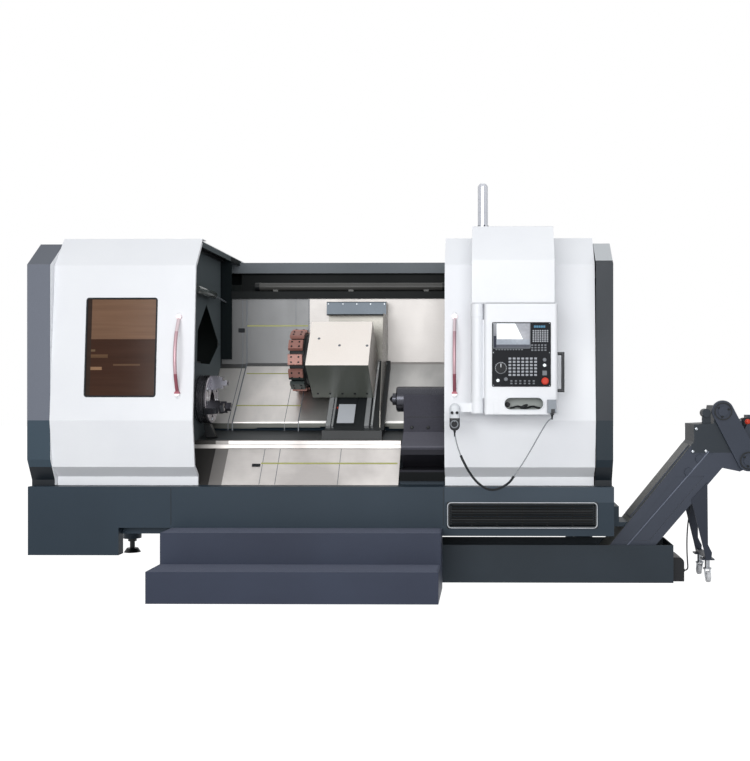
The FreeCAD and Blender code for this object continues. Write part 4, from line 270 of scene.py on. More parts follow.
def turnsAbout(axis, angles):
    # turning matrices about one axis, one for each angle in degrees: cos and sin between the next two axes
    a = np.radians(np.asarray(angles, float))
    own = "xyz".index(axis)
    first, second = (own + 1) % 3, (own + 2) % 3
    turn = np.zeros((len(a), 3, 3))
    turn[:, own, own] = 1
    turn[:, first, first], turn[:, first, second] = np.cos(a), -np.sin(a)
    turn[:, second, first], turn[:, second, second] = np.sin(a), np.cos(a)
    return turn


def ringPlaces(middle, radius, count, axis, start=0.0):
    # count places on a circle of that radius about an axis through middle: middle + radius times (cos, sin)
    a = math.radians(start) + np.arange(count) * 2 * math.pi / count
    ring = np.stack([np.cos(a), np.sin(a)], axis=1) * radius
    return np.asarray(middle, float) + np.insert(ring, "xyz".index(axis), 0.0, axis=1)


def roundedLoop(low, high, radius, steps=6):
    # four quarter circles of that radius at the corners of a rectangle, as points of (across, up)
    centre = np.array([[high[0] - radius, high[1] - radius], [low[0] + radius, high[1] - radius],
                       [low[0] + radius, low[1] + radius], [high[0] - radius, low[1] + radius]])
    angle = np.linspace(0, math.pi / 2, steps)[None] + np.arange(4)[:, None] * math.pi / 2
    arc = np.stack([np.cos(angle), np.sin(angle)], axis=-1) * radius
    return (centre[:, None] + arc).reshape(-1, 2)


def plate(low, high, layers, steps=6):
    # a plate with rounded corners, made of layers of (inset, Y, corner radius)
    return ringSolid([standing(roundedLoop(np.add(low, inset), np.subtract(high, inset), radius, steps), y)
                      for inset, y, radius in layers])


def strip(path, lift, low, high):
    # a sheet that lies on a path of (y, z) points and stands lift proud of it, from low to high in X
    path = np.asarray(path, float)
    ahead = np.gradient(path, axis=0)
    ahead = ahead / np.linalg.norm(ahead, axis=1, keepdims=True)
    proud = path + lift * np.stack([-ahead[:, 1], ahead[:, 0]], axis=1)
    return prism(np.concatenate([path, proud[::-1]]), low, high, "x")


def screwHead(radius, direction=(0, -1, 0)):
    # a domed head with a hollow socket, as a turned profile, its seat at the origin
    return turned([(0, radius * 0.2), (radius * 0.45, radius * 0.2), (radius * 0.5, radius * 0.62),
                   (radius * 0.8, radius * 0.56), (radius, radius * 0.25), (radius, -0.8), (0, -0.8)],
                  (0, 0, 0), direction, 10)


merge = 1e-6  # points nearer than this, in metres, are one


def makePiece(name, shapes, look, body, bevel=0.0, creased=32):
    # joins shapes into one object at the origin, faces outwards, on its body, or on none when no body is given
    points, faces, count = [], [], 0
    for shapePoints, shapeFaces in shapes:
        points.append(toFrame(shapePoints))
        faces += [[i + count for i in face] for face in shapeFaces]
        count += len(shapePoints)
    mesh = bpy.data.meshes.new(name)
    mesh.from_pydata(np.concatenate(points).tolist(), [], faces)
    work = bmesh.new()
    work.from_mesh(mesh)
    bmesh.ops.remove_doubles(work, verts=work.verts, dist=merge)
    bmesh.ops.dissolve_degenerate(work, dist=merge, edges=work.edges)
    bmesh.ops.recalc_face_normals(work, faces=work.faces)
    work.to_mesh(mesh)
    work.free()
    mesh.materials.append(look)
    mesh.shade_smooth()
    mesh.set_sharp_from_angle(angle=math.radians(creased))
    piece = bpy.data.objects.new(name, mesh)
    bpy.context.collection.objects.link(piece)
    if bevel:
        edge = piece.modifiers.new("softEdge", "BEVEL")
        edge.width = bevel / 1000.0
        edge.segments = 2
        edge.limit_method = "ANGLE"
    if body:
        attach(piece, body)
    return piece


# finishes

def tone(code):
    # a written colour such as 3a4452, from screen values to linear light
    parts = np.array([int(code[i:i + 2], 16) for i in (0, 2, 4)]) / 255.0
    return tuple(np.where(parts <= 0.04045, parts / 12.92, ((parts + 0.055) / 1.055) ** 2.4)) + (1.0,)


def mixTones(tree, share, first, second, way="MIX"):
    return node(tree, "ShaderNodeMix", {0: share, 6: first, 7: second}, data_type="RGBA",
                blend_type=way).outputs[2]


def insideBox(tree, split, low, high):
    # one where the point lies between low and high in machine mm; None leaves a side open
    share = None
    middle = (outline["middleX"], outline["middleY"], 0.0)
    for limits, operation in ((low, "GREATER_THAN"), (high, "LESS_THAN")):
        for axis, limit in enumerate(limits):
            if limit is not None:
                step = maths(tree, operation, split.outputs[axis], (limit - middle[axis]) / 1000.0)
                share = step if share is None else maths(tree, "MULTIPLY", share, step)
    return share


plainLook = {
    "cloud": (1, 1, 1),                  # stretch of the broad noise
    "broad": 1.6,                        # scale of the broad noise
    "clouded": (0.35, 0.65),             # span of the broad noise over which the first colour turns to the second
    "grain": (1, 1, 1),                  # stretch of the fine noise
    "fine": 220.0,                       # scale of the fine noise
    "span": (0.3, 0.7),                  # span of the noise that speckle and gloss spread over
    "speckle": 0.05,                     # how much the fine noise lightens and darkens
    "gloss": (0.34, 0.46),               # lowest and highest roughness
    "glossFrom": (0.6, 0.4),             # shares of the broad and the fine noise in it
    "bump": 0.08,
    "bumpDepth": 0.002,
    "tipped": 0.3,                       # how far a face points up or down before it takes that tone
    "areas": (),                         # boxes in machine mm with a tone of their own
    "metal": 0.0,
    "coat": 0.0,
    "shine": 0.5,
}


def makeLook(name, look):
    # a base colour clouded by broad noise, speckled by fine noise, with its own grain, gloss and bump
    look = {**plainLook, "second": look["colour"], **look}
    made = bpy.data.materials.new(name)
    made.use_nodes = True
    tree = made.node_tree
    shader = tree.nodes["Principled BSDF"]
    where = node(tree, "ShaderNodeTexCoord").outputs["Object"]
    split = node(tree, "ShaderNodeSeparateXYZ", {0: where})
    cloud = node(tree, "ShaderNodeMapping", {"Vector": where, "Scale": look["cloud"]}).outputs[0]
    broad = node(tree, "ShaderNodeTexNoise", {"Vector": cloud, "Scale": look["broad"], "Detail": 4.0})
    low, high = look["clouded"]
    spread = node(tree, "ShaderNodeMapRange", {"Value": broad.outputs[0], "From Min": low, "From Max": high})
    colour = mixTones(tree, spread.outputs[0], tone(look["colour"]), tone(look["second"]))
    # faces that point up can take a tone of their own; faces that point down take painted shade
    if "upward" in look or "paintedShadeBelow" in look:
        facing = node(tree, "ShaderNodeSeparateXYZ", {0: node(tree, "ShaderNodeNewGeometry").outputs["True Normal"]})
        for key, operation, side in (("upward", "GREATER_THAN", 1), ("paintedShadeBelow", "LESS_THAN", -1)):
            if key in look:
                share = maths(tree, operation, facing.outputs[2], side * look["tipped"])
                colour = mixTones(tree, share, colour, tone(look[key]))
    for low, high, code in look["areas"]:
        colour = mixTones(tree, insideBox(tree, split, low, high), colour, tone(code))
    stretched = node(tree, "ShaderNodeMapping", {"Vector": where, "Scale": look["grain"]}).outputs[0]
    fine = node(tree, "ShaderNodeTexNoise", {"Vector": stretched, "Scale": look["fine"], "Detail": 3.0})
    low, high = look["span"]
    speckle = node(tree, "ShaderNodeMapRange", {"Value": fine.outputs[0], "From Min": low, "From Max": high,
                                                "To Min": 1 - look["speckle"],
                                                "To Max": 1 + look["speckle"]}).outputs[0]
    grey = node(tree, "ShaderNodeCombineColor", {0: speckle, 1: speckle, 2: speckle}).outputs[0]
    tree.links.new(mixTones(tree, 1.0, colour, grey, "MULTIPLY"), shader.inputs["Base Color"])
    both = maths(tree, "ADD", maths(tree, "MULTIPLY", broad.outputs[0], look["glossFrom"][0]),
                 maths(tree, "MULTIPLY", fine.outputs[0], look["glossFrom"][1]))
    rough = node(tree, "ShaderNodeMapRange", {"Value": both, "From Min": low, "From Max": high,
                                              "To Min": look["gloss"][0], "To Max": look["gloss"][1]})
    tree.links.new(rough.outputs[0], shader.inputs["Roughness"])
    bump = node(tree, "ShaderNodeBump", {"Height": fine.outputs[0], "Strength": look["bump"],
                                         "Distance": look["bumpDepth"]})
    tree.links.new(bump.outputs[0], shader.inputs["Normal"])
    shader.inputs["Metallic"].default_value = look["metal"]
    shader.inputs["Coat Weight"].default_value = look["coat"]
    shader.inputs["Specular IOR Level"].default_value = look["shine"]
    if "glow" in look:
        shader.inputs["Emission Color"].default_value = tone(look["glow"][0])
        shader.inputs["Emission Strength"].default_value = look["glow"][1]
    return made


def dress(name, look, *dressed):
    # the finish goes on every material slot of these parts
    made = makeLook(name, look)
    for part in dressed:
        mesh = nodes[part].data
        for index in range(len(mesh.materials)):
            mesh.materials[index] = made
    return made


everywhere = (None, None, None)  # a box's corner that leaves all three sides open

plastics = {
    "cable": {"colour": "8d9194", "second": "80858a", "fine": 300.0, "speckle": 0.06, "gloss": (0.42, 0.55)},
    "rubber": {"colour": "202327", "second": "1a1d20", "fine": 260.0, "speckle": 0.10, "gloss": (0.48, 0.62),
               "shine": 0.2},
    "black": {"colour": "1b1d21", "second": "17191c", "fine": 320.0, "speckle": 0.08, "gloss": (0.40, 0.54),
              "shine": 0.2},
    "pale": {"colour": "c9cdd2", "second": "bfc3c9", "fine": 320.0, "speckle": 0.03, "gloss": (0.36, 0.48)},
    "grey": {"colour": "6c7177", "second": "62676d", "fine": 320.0, "speckle": 0.05, "gloss": (0.38, 0.50)},
    "white": {"colour": "eef1f4", "second": "e4e8ec", "fine": 320.0, "speckle": 0.02, "gloss": (0.30, 0.42)},
    "red": {"colour": "d8452e", "second": "c93a26", "fine": 320.0, "speckle": 0.04, "gloss": (0.34, 0.44),
            "shine": 0.25},
    "key": {"colour": "a2a6ad", "second": "979ba2", "fine": 320.0, "speckle": 0.04, "gloss": (0.38, 0.50)},
    "blue": {"colour": "2f7ea3", "second": "27708f", "fine": 320.0, "speckle": 0.04, "gloss": (0.34, 0.46)},
    "lime": {"colour": "a9ab63", "second": "9b9d55", "fine": 90.0, "speckle": 0.10, "gloss": (0.40, 0.55)},
}

metals = {
    "stainless": {"colour": "b3b0ae", "second": "9b9a99", "metal": 1.0, "grain": (0.02, 1, 1), "fine": 420.0,
                  "speckle": 0.03, "gloss": (0.42, 0.54), "bump": 0.012, "broad": 2.6, "cloud": (1.4, 1, 0.5)},
    "ground": {"colour": "e4e6e8", "second": "cfd2d6", "metal": 0.7, "grain": (1, 0.03, 0.03), "fine": 500.0,
               "speckle": 0.05, "gloss": (0.18, 0.28), "bump": 0.03},
    "zinc": {"colour": "9a9da1", "second": "85898e", "metal": 1.0, "fine": 90.0, "speckle": 0.10,
             "gloss": (0.28, 0.44), "bump": 0.08},
    "black": {"colour": "1d2022", "second": "17191b", "metal": 0.3, "fine": 300.0, "speckle": 0.10,
              "gloss": (0.34, 0.48), "bump": 0.08, "shine": 0.35},
    # a red handle painted pale pink, paler still at the top as a painted reflection and dark red low down as painted
    # shade; its foot is white
    "handle": {"colour": "c2a0a7", "second": "b58f97", "metal": 0.4, "fine": 300.0, "speckle": 0.03,
               "gloss": (0.34, 0.44), "bump": 0.02,
               "areas": [((None, None, 1800), everywhere, "d8c6ca"), (everywhere, (None, None, 1500), "8d4d59"),
                         (everywhere, (None, None, 1362), "dedadb")]},
    "screw": {"colour": "b4b8bd", "second": "9ea3a9", "metal": 1.0, "fine": 160.0, "speckle": 0.08,
              "gloss": (0.24, 0.36), "bump": 0.05},
}

rubber = makeLook("rubber", plastics["rubber"])
blackPlastic = makeLook("blackPlastic", plastics["black"])
palePlastic = makeLook("palePlastic", plastics["pale"])
greyPlastic = makeLook("greyPlastic", plastics["grey"])
whitePlastic = makeLook("whitePlastic", plastics["white"])
redPlastic = makeLook("redPlastic", plastics["red"])
bluePlastic = makeLook("bluePlastic", plastics["blue"])
limeRubber = makeLook("limeRubber", plastics["lime"])
keyPlastic = makeLook("keyPlastic", plastics["key"])
screwSteel = makeLook("screwSteel", metals["screw"])
blackSteel = makeLook("blackSteel", metals["black"])


# the two cables

pendantCable = {
    "start": (3018.0, -251.0, 1112.0),
    "turn": -5.76,                       # degrees, the way the loop hangs seen from above
    "span": 657.3,
    "route": ((0, 0), (0.004, -45), (0.048, -147), (0.121, -248), (0.207, -332), (0.302, -383), (0.396, -400),
              (0.491, -378), (0.569, -344), (0.612, -299), (0.698, -220), (0.784, -125), (0.870, -24),
              (0.956, 72), (1.0, 87.7), (1.0, 109.7)),  # share of the span, height against the start
    "diameter": 8.0,
    "sleeveFrom": 3058.0,                # X where the ribbed sleeve starts and ends
    "sleeveTo": 3418.0,
    "sleeveRadius": 8.8,
    "ribDepth": 1.1,
    "ribPitch": 9.0,
    "pointsPerRib": 6,
    # radius and height of the relief at the pendant; the one at the connector is shorter
    "relief": ((0, -2), (8.5, -2), (8.5, 5), (7.2, 7), (7.2, 10), (6.2, 12), (6.2, 15), (5.4, 17), (5.4, 20),
               (4.8, 32), (4.4, 38), (0, 38)),
    "shorter": 0.8,
}

conveyorCable = {
    "across": 300.0,                     # Y of the whole run
    "route": ((4716, 556), (4716, 531.95), (4706, 459.8), (4697, 382.8), (4693, 305.9), (4693, 219.3),
              (4697, 142.3), (4702, 75), (4676, 75)),
    "diameter": 10.0,
}


def routeCurve(name, points):
    # the points as the control points of one smooth line, and that line's own points in machine mm
    curve = bpy.data.curves.new(name, "CURVE")
    curve.dimensions = "3D"
    curve.resolution_u = 24
    curve.use_fill_caps = True
    spline = curve.splines.new("NURBS")
    spline.points.add(len(points) - 1)
    spline.points.foreach_set("co", np.column_stack([toFrame(points), np.ones(len(points))]).ravel())
    spline.order_u = 3
    spline.use_endpoint_u = True
    cord = bpy.data.objects.new(name, curve)
    bpy.context.collection.objects.link(cord)
    plain = bpy.data.meshes.new_from_object(cord)
    line = np.empty(len(plain.vertices) * 3)
    plain.vertices.foreach_get("co", line)
    bpy.data.meshes.remove(plain)
    return cord, fromFrame(line.reshape(-1, 3))


def stepsOf(line):
    # the distances between neighbouring points; their sum is the line's length
    return np.linalg.norm(np.diff(line, axis=0), axis=1)


def layCord(name, points, diameter, look, replaced, sleeve=None, bends=()):
    # rides on the machine, or, where it hangs across the joint between two bodies, is made a tube on no body
    cord, line = routeCurve(name, points)
    if bends:
        bpy.data.curves.remove(cord.data)  # a tube follows the same line in place of the curve
        cord = makePiece(name, [alongPath(line, diameter / 2, 16)], look, None, creased=60)
    else:
        cord.data.bevel_depth = diameter / 2000.0
        cord.data.bevel_resolution = 5
        cord.data.materials.append(look)
        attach(cord, "machine")
    onCord = [sleeve(line)] if sleeve else []
    if bends:
        for piece in [cord] + onCord:
            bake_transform(piece)
    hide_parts(replaced)


def pendantSleeve(line):
    # a tube round the lowest part of the line, its radius less the rib's depth times sin squared along it
    values = pendantCable
    run = line[(line[:, 0] > values["sleeveFrom"]) & (line[:, 0] < values["sleeveTo"])]
    along = np.concatenate([[0], np.cumsum(stepsOf(run))])
    ends = values["pointsPerRib"]
    even = np.arange(0, along[-1], values["ribPitch"] / ends)
    run = np.stack([np.interp(even, along, run[:, axis]) for axis in range(3)], axis=1)
    wave = values["sleeveRadius"] - values["ribDepth"] * np.sin(math.pi * even / values["ribPitch"]) ** 2
    wave[:ends] = wave[-ends:] = values["sleeveRadius"]
    return makePiece("pendant_cable_sleeve", [alongPath(run, wave, 14)], rubber, None, creased=60)


def pendantRoute(values):
    # start + share of the span along the turned direction, and the height added to z
    share, height = np.array(values["route"], float).T
    a = math.radians(values["turn"])
    return np.array(values["start"]) + np.stack([share * values["span"] * math.cos(a),
                                                 share * values["span"] * math.sin(a), height], axis=1)


cablePlastic = makeLook("cablePlastic", plastics["cable"])
route = pendantRoute(pendantCable)
layCord("pendant_cable_run", route, pendantCable["diameter"], cablePlastic, "pendant_cable", pendantSleeve,
        ("machine", "control_box"))
layCord("conveyor_cable_run", [(x, conveyorCable["across"], z) for x, z in conveyorCable["route"]],
        conveyorCable["diameter"], rubber, "conveyor_cable")
for name, body, place, share in (("pendant_cable_relief", "machine", route[0], 1.0),
                                 ("connector_relief", "control_box", route[-1], pendantCable["shorter"])):
    relief = turned(np.array(pendantCable["relief"]) * [1, share], place, (0, 0, -1), 18)
    makePiece(name, [relief], rubber, body)
print("cables laid")


# casing: painted sheet metal

paints = {
    # white paint: faces that point down are painted a little darker, painted shade
    "white": {"colour": "eff1f4", "second": "eaecf0", "fine": 260.0, "speckle": 0.012, "gloss": (0.34, 0.44),
              "bump": 0.05, "shine": 0.35, "paintedShadeBelow": "e6e8eb"},
    "base": {"colour": "283642", "second": "24313c", "fine": 240.0, "speckle": 0.05, "gloss": (0.42, 0.54),
             "bump": 0.09, "broad": 0.9, "shine": 0.25,
             "areas": [((2940, None, 600), (None, 3, None), "38444f")]},
    # step paint: faces that point up, the treads, are painted lighter, painted light from above
    "step": {"colour": "32394a", "second": "2e3444", "fine": 240.0, "speckle": 0.06, "gloss": (0.44, 0.56),
             "bump": 0.16, "upward": "535867", "shine": 0.25},
    "slate": {"colour": "343b48", "second": "2f3541", "fine": 240.0, "speckle": 0.05, "gloss": (0.40, 0.52),
              "bump": 0.09, "shine": 0.3},
    # conveyor paint: faces that point up are painted lighter, painted light from above
    "conveyor": {"colour": "393f4c", "second": "343a46", "fine": 240.0, "speckle": 0.05, "gloss": (0.40, 0.52),
                 "bump": 0.09, "shine": 0.3, "upward": "6a6b68",
                 "areas": [((4712, None, 936), everywhere, "222a32")]},
    "leg": {"colour": "232a37", "second": "1f2531", "fine": 240.0, "speckle": 0.05, "gloss": (0.40, 0.52),
            "bump": 0.09, "shine": 0.3},
    "tray": {"colour": "28323b", "second": "232c34", "fine": 240.0, "speckle": 0.05, "gloss": (0.40, 0.52),
             "bump": 0.09, "shine": 0.25, "upward": "1d2124",
             "areas": [((4578, None, None), everywhere, "17191d")]},
    # end cover paint: the folded facets are painted lighter and darker for how the light falls on them, the left cover
    # lighter than the right and the bottom chamfer near black: painted light and shade
    "ends": {"colour": "31363c", "second": "2d3237", "fine": 240.0, "speckle": 0.05, "gloss": (0.36, 0.48),
             "bump": 0.08, "shine": 0.25,
             "areas": [((3900, None, 2300), everywhere, "c0c4c7"), ((3900, None, None), (None, None, 1175), "13222c"),
                       (everywhere, (400, None, None), "6f747f"), ((None, None, 2275), (400, None, None), "60656e"),
                       (everywhere, (400, None, 1175), "384854"),
                       (everywhere, (None, None, 845), "171d23")]},
    # hood paint: inside the working space its white paint is painted grey, and near black at the back and by the
    # partition: painted shade
    "hood": {"colour": "eff1f4", "second": "eaecf0", "fine": 260.0, "speckle": 0.02, "gloss": (0.62, 0.74),
             "bump": 0.05, "shine": 0.04,
             "areas": [((165, 20, None), (1160, 1440, 2473), "596164"),
                       ((165, 1440, None), (1160, 1556, 2320), "14191b"),
                       ((1060, 1090, None), (None, 1440, 2473), "161c1e")]},
    # beam paint: faces that point down, the recess behind it and the band below Z 2370 are painted near black: painted
    # shade
    "beam": {"colour": "72787d", "second": "6a7075", "fine": 240.0, "speckle": 0.05, "gloss": (0.50, 0.62),
             "bump": 0.08, "shine": 0.15, "paintedShadeBelow": "101415",
             "areas": [((None, 1393, None), everywhere, "0f1213"), (everywhere, (None, None, 2370), "101415")]},
    # control box paint: the holster recess is painted grey, painted shade; the side handle is black
    "box": {"colour": "eceef1", "second": "e7e9ed", "fine": 260.0, "speckle": 0.012, "gloss": (0.30, 0.42),
            "bump": 0.05, "shine": 0.4,
            "areas": [((3352, -296, 1254), (3617, -205, 1341), "8b918e"),
                      ((3712, None, 1370), everywhere, "1f2226")]},
}

whitePaint = dress("whitePaint", paints["white"], "tail_hood", "cabinet_door", "left_door", "right_door",
                   "control_arm")
# the rear cover's white paint is painted dark as shade on faces that point down, such as under its slanting roof, and
# on its wall behind the headstock; its switch cabinet is dark grey inside
rear = dict(paints["white"], paintedShadeBelow="14191b", areas=[((160, 1600, 712), (1110, 1638, 2298), "262e2e"),
                                                       ((427, 1641, 427), (1793, 2034, 2243), "2b2f32")])
dress("rearPaint", rear, "rear_cover")
dress("basePaint", paints["base"], "base_frame")
dress("stepPaint", paints["step"], "operator_steps")
slatePaint = dress("slatePaint", paints["slate"], "chain_guard", "gear_motor")
dress("legPaint", paints["leg"], "support_leg")
dress("conveyorPaint", paints["conveyor"], "conveyor_body")
dress("trayPaint", paints["tray"], "conveyor_tray")
dress("endPaint", paints["ends"], "end_covers")
dress("hoodPaint", paints["hood"], "headstock_hood")
dress("beamPaint", paints["beam"], "top_beam")
dress("boxPaint", paints["box"], "control_box")
dress("chromeBar", metals["handle"], "left_door_handle", "right_door_handle")
dress("padSteel", metals["black"], "leveling_mounts", "vent_grille")
print("casing painted")


doorDetail = {
    "front": -20.0,                      # Y of the broad face at its lower fold
    "fold": 1175.0,
    "lean": 0.07455,                     # how far each mm above the fold leans back
    "windowLow": (404.0, 1344.0),
    "windowHigh": (900.0, 2037.0),
    "windowCorner": 14.0,
    "gasket": 6.0,
    "gasketStands": 1.5,                 # its middle before the face
    "handleAt": (1061.0, 3009.0),
    "handleEnds": (1344.0, 1924.0),
    "flange": ((0, -3), (15, -3), (15, 2), (12, 4), (10, 5), (0, 5)),  # radius and height
    "flangeFacing": (0, -1, 0.0745),
    "rollersAt": ((270.0, 1060.0), (3047.0, 3886.0)),
    "rollerYZ": (300.0, 2463.0),
    "roller": ((0, -7), (20, -7), (22, -5), (22, 5), (20, 7), (0, 7)),
}

# opaque amber glass with painted reflections: a lighter upper half and light streaks, a darker lower half and a dark
# band at the left
windowPaintedReflections = {"colour": "6f5340", "second": "765a47", "broad": 1.2, "grain": (0.12, 1, 2.6), "fine": 14.0,
              "speckle": 0.12, "gloss": (0.10, 0.18), "bump": 0.0, "shine": 0.12,
              "areas": [(everywhere, (None, None, 1748), "3a2216"), (everywhere, (None, None, 1500), "3e261a"),
                        ((None, None, 1530), (520, None, 1552), "8a6a50"),
                        ((None, None, 1616), (560, None, 1640), "5d4430"),
                        ((600, None, 1560), (790, None, 1572), "5a4230"),
                        ((None, None, 1660), (470, None, 1676), "64503c"),
                        (everywhere, (440, None, 2030), "33261f")]}


def doorFace(values, height):
    # Y of a door's broad face at a height: its front, and the lean times the height above the fold
    return values["front"] + (np.asarray(height, float) - values["fold"]) * values["lean"]


def addDoors(values):
    dress("amberGlass", windowPaintedReflections, "door_window")
    loop = roundedLoop(values["windowLow"], values["windowHigh"], values["windowCorner"], 5)
    seal = standing(loop, doorFace(values, loop[:, 1]) - values["gasketStands"])
    makePiece("window_gasket", [alongPath(seal, values["gasket"], 10, closed=True, flat=0.55)], rubber,
              "left_door", creased=60)
    flange = turned(values["flange"], (0, 0, 0), values["flangeFacing"])
    roller = turned(values["roller"], (0, 0, 0), (0, 1, 0), 18)
    for body, x, ends in zip(("left_door", "right_door"), values["handleAt"], values["rollersAt"]):
        places = [(x, float(doorFace(values, z)), z) for z in values["handleEnds"]]
        makePiece(body + "_handle_flanges", [copies(flange, places)], whitePaint, body)
        # guide rollers that hang the door on its top rail
        hung = [(end, *values["rollerYZ"]) for end in ends]
        makePiece(body + "_rollers", [copies(roller, hung)], screwSteel, body)


addDoors(doorDetail)

grilleDetail = {
    "low": (2960.0, 423.0),
    "high": (4006.0, 600.0),
    "corner": 26.0,
    "rim": 3.4,
    "rimY": -12.0,
    "slats": 7,
    "slat": ((-13.5, -5), (-11.5, 7), (-10.5, 7), (-11.5, -5)),  # Y and Z
    "slatsIn": (30.0, 28.0),             # how far inside the rim they end, across and up
    "slatLook": {"colour": "141617", "second": "0f1112", "fine": 300.0, "speckle": 0.10, "gloss": (0.60, 0.74),
                 "shine": 0.1},
}


def addGrille(values):
    low, high = np.array(values["low"]), np.array(values["high"])
    rim = standing(roundedLoop(low, high, values["corner"]), values["rimY"])
    makePiece("grille_rim", [alongPath(rim, values["rim"], 8, closed=True)], palePlastic, "machine",
              creased=60)
    low, high = low + values["slatsIn"], high - values["slatsIn"]
    slat = prism(values["slat"], low[0], high[0])
    places = [(0, 0, z) for z in np.linspace(low[1], high[1], values["slats"])]
    makePiece("grille_slats", [copies(slat, places)], makeLook("mattBlack", values["slatLook"]), "machine")


addGrille(grilleDetail)

seamDetail = {
    "baseSeams": (1012.0, 2930.0),
    "baseSeam": ((-1.5, -1.6, 440.0), (1.5, 0.2, 700.0)),  # its two corners, about each X
    "rearSeams": (2430.0, 2950.0, 3480.0),
    "rearStrap": ((-12.0, 1639.5, 760.0), (12.0, 1643.5, 2290.0)),
    "rearEdges": (200.0, 3960.0),
    "rearFaces": (1643.5, 1640.2),       # Y of the straps' and of the edges' screws
    "rearRows": (800.0, 2250.0, 9),
    "screwRadius": 7.0,
    "endFace": 4120.2,
    "endScrews": (((300, 700, 1100, 1500), (800, 2350)), ((240, 1560), (1200, 1600, 2000))),  # Y and Z
    "endScrewRadius": 8.0,
    # Y and Z of the white post that closes the gap between the left end cover and the door
    "jamb": ((77, 712), (77, 751), (2, 899), (2, 2272), (217, 2442), (300, 2442), (90, 2262), (90, 910), (165, 760),
             (165, 712)),
    "jambX": (158.4, 161.0),
}


def addSeams(values):
    # joint lines and fixings of the sheet-metal casing, seen from all sides
    makePiece("base_seams", slabsAt(values["baseSeams"], values["baseSeam"]), blackSteel, "machine")
    makePiece("rear_cover_straps", slabsAt(values["rearSeams"], values["rearStrap"]), whitePaint, "machine",
              bevel=1.0)
    rows = np.linspace(*values["rearRows"])
    fixings = [lattice(xs, (y,), rows) for xs, y in zip((values["rearSeams"], values["rearEdges"]),
                                                        values["rearFaces"])]
    head = screwHead(values["screwRadius"], (0, 1, 0))
    makePiece("rear_screws", [copies(head, np.concatenate(fixings))], screwSteel, "machine")
    side = np.concatenate([lattice((values["endFace"],), ys, zs) for ys, zs in values["endScrews"]])
    makePiece("end_cover_screws", [copies(screwHead(values["endScrewRadius"], (1, 0, 0)), side)], screwSteel,
              "machine")
    makePiece("door_jamb", [prism(values["jamb"], *values["jambX"])], whitePaint, "machine")


addSeams(seamDetail)

cabinetDetail = {
    "panelLow": (424.0, 424.0),
    "panelHigh": (1796.0, 2246.0),
    # inset, Y and corner radius of the pressed panel, from its back to its sunk field
    "layers": ((4, 2041, 8), (0, 2044, 8), (0, 2057, 8), (3, 2060, 8), (46, 2060, 8), (52, 2054, 8)),
    "louvre": ((2053, -10), (2060, -9), (2063, 2), (2056, 10), (2053, 10)),  # Y and Z
    "louvreAt": (700.0, 1500.0),
    "louvreBanks": ((620.0, 1040.0), (1680.0, 2100.0)),
    "louvreRows": 11,
    "latch": (((1692, 2053, 1280), (1730, 2058, 1420)), ((1700, 2057, 1306), (1722, 2064, 1376))),
    "hinge": ((0, -34), (8, -34), (9, -32), (9, -1), (7.5, 0), (9, 1), (9, 32), (8, 34), (0, 34)),
    "hingesAt": ((416.0,), (2052.0,), (620.0, 1330.0, 2040.0)),
}


def addCabinetDoor(values):
    # a pressed panel with a raised border, louvres, a latch and hinges
    panel = makePiece("cabinet_door_panel", [plate(values["panelLow"], values["panelHigh"], values["layers"], 4)],
                      whitePaint, "cabinet_door")
    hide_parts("cabinet_door")
    louvre = prism(values["louvre"], *values["louvreAt"])
    rises = np.concatenate([np.linspace(*bank, values["louvreRows"]) for bank in values["louvreBanks"]])
    makePiece("cabinet_louvres", [copies(louvre, [(0, 0, z) for z in rises])], whitePaint, "cabinet_door",
              bevel=1.0)
    makePiece("cabinet_latch", [slab(*corners) for corners in values["latch"]], blackPlastic, "cabinet_door",
              bevel=2.0)
    hinge = turned(values["hinge"], (0, 0, 0), (0, 0, 1), 16)
    makePiece("cabinet_hinges", [copies(hinge, lattice(*values["hingesAt"]))], blackSteel, "machine")


addCabinetDoor(cabinetDetail)
print("doors, grille and seams done")


# the working space behind the doors

